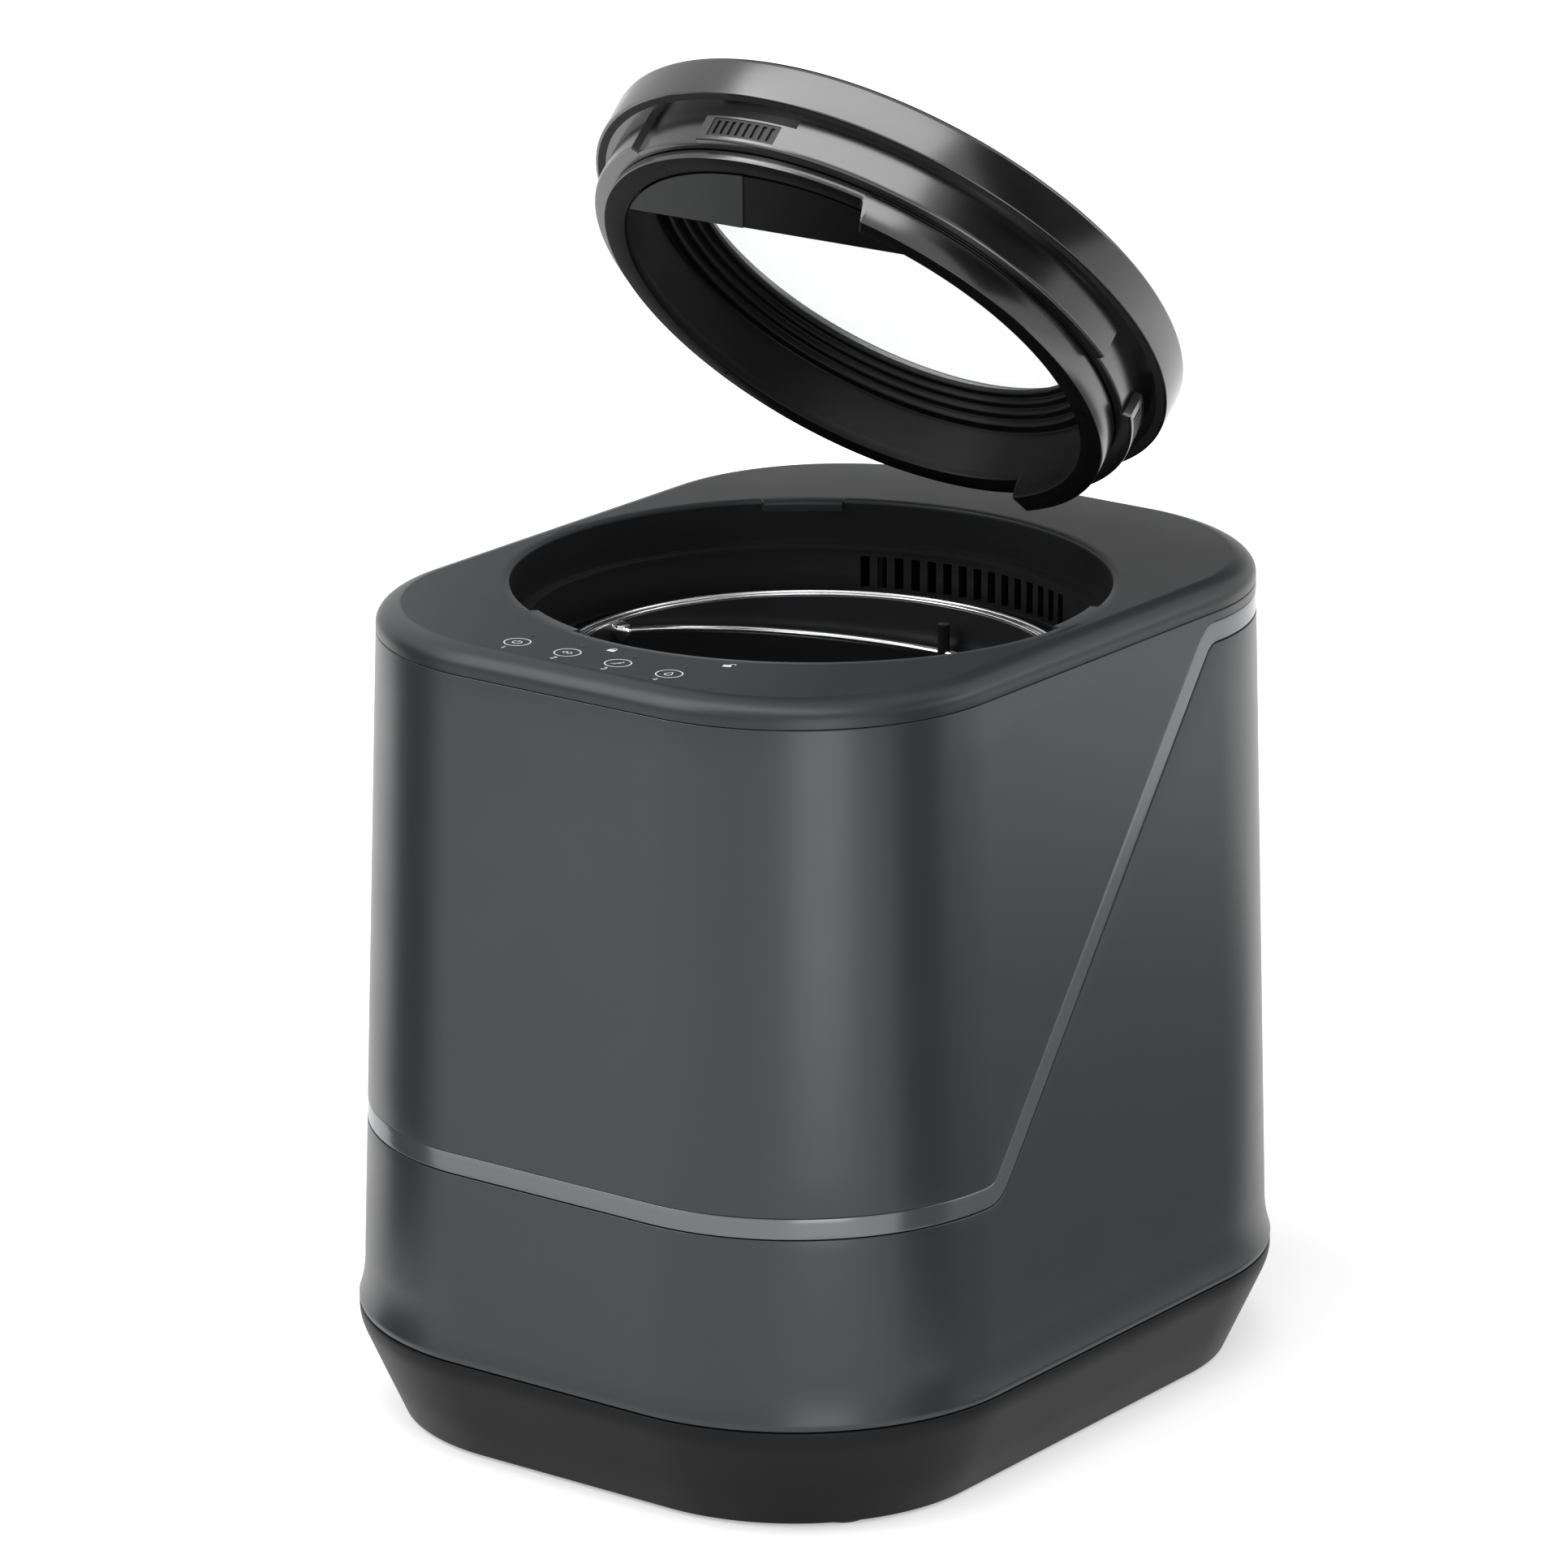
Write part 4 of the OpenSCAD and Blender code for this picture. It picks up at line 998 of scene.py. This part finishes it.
# The skirt hangs below the band: a moulded ring with a deep half and a shallow half, joined by an
# S-shaped step. Its outside is glossy. Its inside and its narrow foot take darker, matt copies of
# the lid's black, which paint the shade inside and under the lid.
skirt_deep = -29.2
skirt_shallow = -20.4
deep_from = -62.5
deep_to = 72.0
step_turn = 2.2
step_points = 8


def eased(share):
    """A share from 0 to 1 with a soft start and a soft end."""
    return 0.5 - 0.5 * math.cos(math.pi * max(0.0, min(1.0, share)))


def skirt_foot(turn):
    """Height of the skirt's foot at a turn round the lid."""
    local = (turn - deep_from) % 360
    span = deep_to - deep_from
    deep = eased(local / step_turn) if local < 180 else 0.0
    if local > span - step_turn:
        deep = 1 - eased((local - span + step_turn) / step_turn)
    return mix(skirt_shallow, skirt_deep, deep)


step_turns = [
    (start + step_turn * k / step_points) % 360
    for start in (deep_from, deep_to - step_turn)
    for k in range(step_points + 1)
]
skirt_turns = sorted(set(lid_turns + step_turns))


def skirt_rows(line):
    """Rows of the skirt from a line of (radius, share of the way down, lift from the foot)."""
    return [
        [lid_point(r, turn, mix(-band_h, skirt_foot(turn) + lift, share)) for turn in skirt_turns]
        for r, share, lift in line
    ]


inner_line = [(skirt_in, 0.0, 0.0), (skirt_in, 1.0, 0.8), (skirt_in + 0.25, 1.0, 0.2)]
narrow_line = [
    inner_line[-1], (skirt_in + 0.9, 1.0, 0.0),
    (skirt_r - 0.6, 1.0, 0.0), (skirt_r - 0.2, 1.0, 0.15),
]
outer_line = [
    narrow_line[-1], (skirt_r, 1.0, 0.55), (skirt_r, 0.5, 0.6), (skirt_r, 0.12, 0.0),
    (skirt_r - 0.6, 0.06, 0.0), (skirt_r - 0.6, 0.0, 0.0),
]
lid_wall = skin("lid_wall", skirt_rows(outer_line))
lid_wall_inside = skin("lid_wall_inside", skirt_rows(inner_line))
lid_wall_foot = skin("lid_wall_foot", skirt_rows(narrow_line))
# Darker, matt copies of the lid's black paint the shade inside the lid, on the skirt's foot and under the
# front block.
lid_inside_painted_shade = plastic("lid_inside_painted_shade", (0.003, 0.003, 0.0032), 0.4, 0.18, grain=0.4, wear=0.01)
underside_painted_shade = plastic("underside_painted_shade", (0.003, 0.003, 0.0032), 0.5, 0.04, grain=0.4, wear=0.008)
fit(lid_wall, "lid", "lid_gloss", lid_gloss, "lid_skirt")
fit(lid_wall_inside, "lid", "lid_gloss", lid_inside_painted_shade)
fit(lid_wall_foot, "lid", "lid_gloss", underside_painted_shade)


# The grey patch: a thin dark grey sheet on the front block's underside, which is near black round
# it. Its front edge lies along the block's straight face, its slanted edge is set to stand upright in
# the view, and its back follows the skirt's arc.
plate_x = -22.5
plate_y = -60.5
plate_slant = 0.505
plate_drop = 36.9
plate_r = 97.5
plate_t = 0.4
plate_edge = 0.15
plate_arc_start = -92.3
plate_arc_end = -141.6
plate_centre = (-50.0, -75.0)
plate_half = 25.0
plate_hole = 0.1
plate_sunk = 0.05
plate_line = [(plate_x, plate_y), (plate_x + plate_slant * plate_drop, plate_y - plate_drop)]
plate_line += arc((0, 0), plate_r, plate_arc_start, plate_arc_end)[1:]
plate_z = skirt_shallow - plate_t


def plate_row(inset, z):
    """The plate's outline drawn in by an inset at a height from the lid's seat."""
    share = inset / plate_half
    return [
        tipped((mix(x, plate_centre[0], share), mix(y, plate_centre[1], share), z)) for x, y in plate_line
    ]


plate_rows = [plate_row(plate_half - plate_hole, plate_z), plate_row(plate_edge, plate_z)]
plate_rows += [plate_row(0.0, plate_z + plate_edge), plate_row(0.0, skirt_shallow + plate_sunk)]
block_grey_patch = skin("block_grey_patch", plate_rows)
block_patch_grey = plastic("block_patch_grey", (0.027, 0.028, 0.029), 0.5, 0.1, grain=0.5, wear=0.01)
fit(block_grey_patch, "lid", "lid_gloss", block_patch_grey)


# The window's bezel: a matt black moulding inside the skirt, which steps up to the glass in three
# rounded ridges. It takes the lid's darker inside copy, which paints the shade inside the lid.
bezel_foot = lid_rim_h - 16.4
bezel_seat = lid_rim_h - 5
bezel_outline = rounded([
    (skirt_in + 0.5, -band_h, 0), (skirt_in - 1, bezel_foot, 1.0), (window_r + 5, bezel_foot, 0.8),
    (window_r + 5, lid_rim_h - 13, 0.8), (window_r + 1.8, lid_rim_h - 13, 0.8),
    (window_r + 1.8, lid_rim_h - 10, 0.8), (window_r - 1.2, lid_rim_h - 10, 0.8),
    (window_r - 1.2, lid_rim_h - 7.3, 0.8), (window_r - 4, lid_rim_h - 7.3, 0.8),
    (window_r - 4, bezel_seat, 0.5), (window_r + 2.6, bezel_seat, 0),
])
window_ring = turned("window_ring", list(reversed(bezel_outline)), (0.0, 0.0), fine_steps, tipped)
fit(window_ring, "lid", "lid_gloss", lid_inside_painted_shade, "window_bezel")


# The window: a disc of clear glass in the bezel. It passes what is behind it, and a pale colour that
# shows more where it is seen edge on paints a sheen on it.
clear_glass = Finish(bpy.data.materials.new("clear_glass"))
glass_shader = clear_glass.tree.nodes["Principled BSDF"]
edge_on = clear_glass.node("ShaderNodeLayerWeight", {}, {"Blend": 0.35}, "Facing")
smear = clear_glass.noise(14, 4)
glass_smear_and_sheen = clear_glass.between(smear, (0.82, 0.85, 0.86), (0.9, 0.92, 0.93))
clear_glass.feed(glass_shader.inputs["Base Color"], glass_smear_and_sheen)
clear_glass.feed(glass_shader.inputs["Roughness"], clear_glass.spread(smear, 0.02, 0.07))
# A painted sheen: the pale colour shows more where the glass is seen edge on.
clear_glass.feed(glass_shader.inputs["Alpha"], clear_glass.spread(edge_on, 0.10, 0.45))
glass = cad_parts["window_glass"]
glass.data.materials.clear()
glass.data.materials.append(clear_glass.owner)


# The pieces that keep their frame mesh take a finish of the same kind: black mouldings, the
# coated bucket, worked metals, nylon, felt, carbon, rubber and the circuit boards.
line_spread = 0.1


def metal(name, tone, rough, along):
    """Worked metal with fine lines, from the lines' scale along each axis."""
    finish = plastic(name, tone, rough, 0.5, grain=0.12, fleck=0.08)
    shader = finish.tree.nodes["Principled BSDF"]
    stretch = {"Vector": finish.place(), "Scale": along}
    lines = finish.noise(1, 3, finish.node("ShaderNodeMapping", {}, stretch))
    finish.feed(shader.inputs["Roughness"], finish.spread(lines, rough - line_spread, rough + line_spread))
    finish.feed(shader.inputs["Metallic"], 1.0)
    return finish


bucket_tone = (0.016, 0.016, 0.017)
kept = {
    "black_plastic": (
        plastic("black_plastic", (0.010, 0.010, 0.0105), 0.4, 0.3, grain=0.6),
        ["well_liner", "gearbox_case", "gearbox_cover", "drive_coupling", "mains_inlet", "air_duct",
         "fan_frame", "fan_rotor", "filter_bay", "bail_tab", "driven_coupling", "ribbed_pads"],
    ),
    "base_plastic": (base_plastic, ["bottom_plate"]),
    "shell_plastic": (shell_plastic, ["filter_drawer"]),
    # The front block takes the near-black copy with almost no sheen, a painted shade under the lid.
    "lid_gloss": (underside_painted_shade, ["front_block"]),
    "rubber": (rubber, ["filter_seal", "lid_seal"]),
    "bucket_coating": (
        plastic("bucket_coating", bucket_tone, 0.34, 0.5, grain=0.6, fleck=0.3), ["bucket_pot"],
    ),
    "bright_steel": (bright_steel, ["bucket_ears", "bail_handle"]),
    "screw_steel": (
        metal("screw_steel", (0.3, 0.3, 0.31), 0.35, (900, 900, 60)),
        ["bottom_screws", "gearbox_screws", "fan_screws", "lid_screws"],
    ),
    "shaft_steel": (
        metal("shaft_steel", (0.56, 0.57, 0.58), 0.3, (60, 60, 900)),
        ["lower_bearing", "upper_bearing", "drive_shaft", "motor_can", "fixed_cutters", "agitator_hub",
         "agitator_blades"],
    ),
    "pressed_aluminium": (
        metal("pressed_aluminium", (0.62, 0.62, 0.61), 0.4, (40, 40, 700)), ["chamber", "heater_plate"],
    ),
    "brass": (
        metal("brass", (0.62, 0.46, 0.2), 0.32, (500, 500, 80)),
        ["temperature_sensor", "motor_pinion", "bucket_bush"],
    ),
    "gear_nylon": (
        plastic("gear_nylon", (0.62, 0.6, 0.52), 0.5, 0.4), ["drive_gear", "board_standoffs"],
    ),
    "felt": (
        plastic("felt", (0.6, 0.59, 0.54), 0.95, 0.1, grain=1.0, fleck=0.2), ["insulation_sleeve"],
    ),
    "carbon": (
        plastic("carbon", (0.012, 0.012, 0.012), 0.9, 0.2, grain=1.0, fleck=0.4), ["carbon_filter"],
    ),
    "circuit_board": (
        plastic("circuit_board", (0.02, 0.09, 0.04), 0.4, 0.5, fleck=0.2), ["touch_board", "power_board"],
    ),
}
for slot_name, (finish, nodes) in kept.items():
    for name in nodes:
        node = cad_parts[name]
        node.data.materials.clear()
        node.data.materials.append(finish.owner)
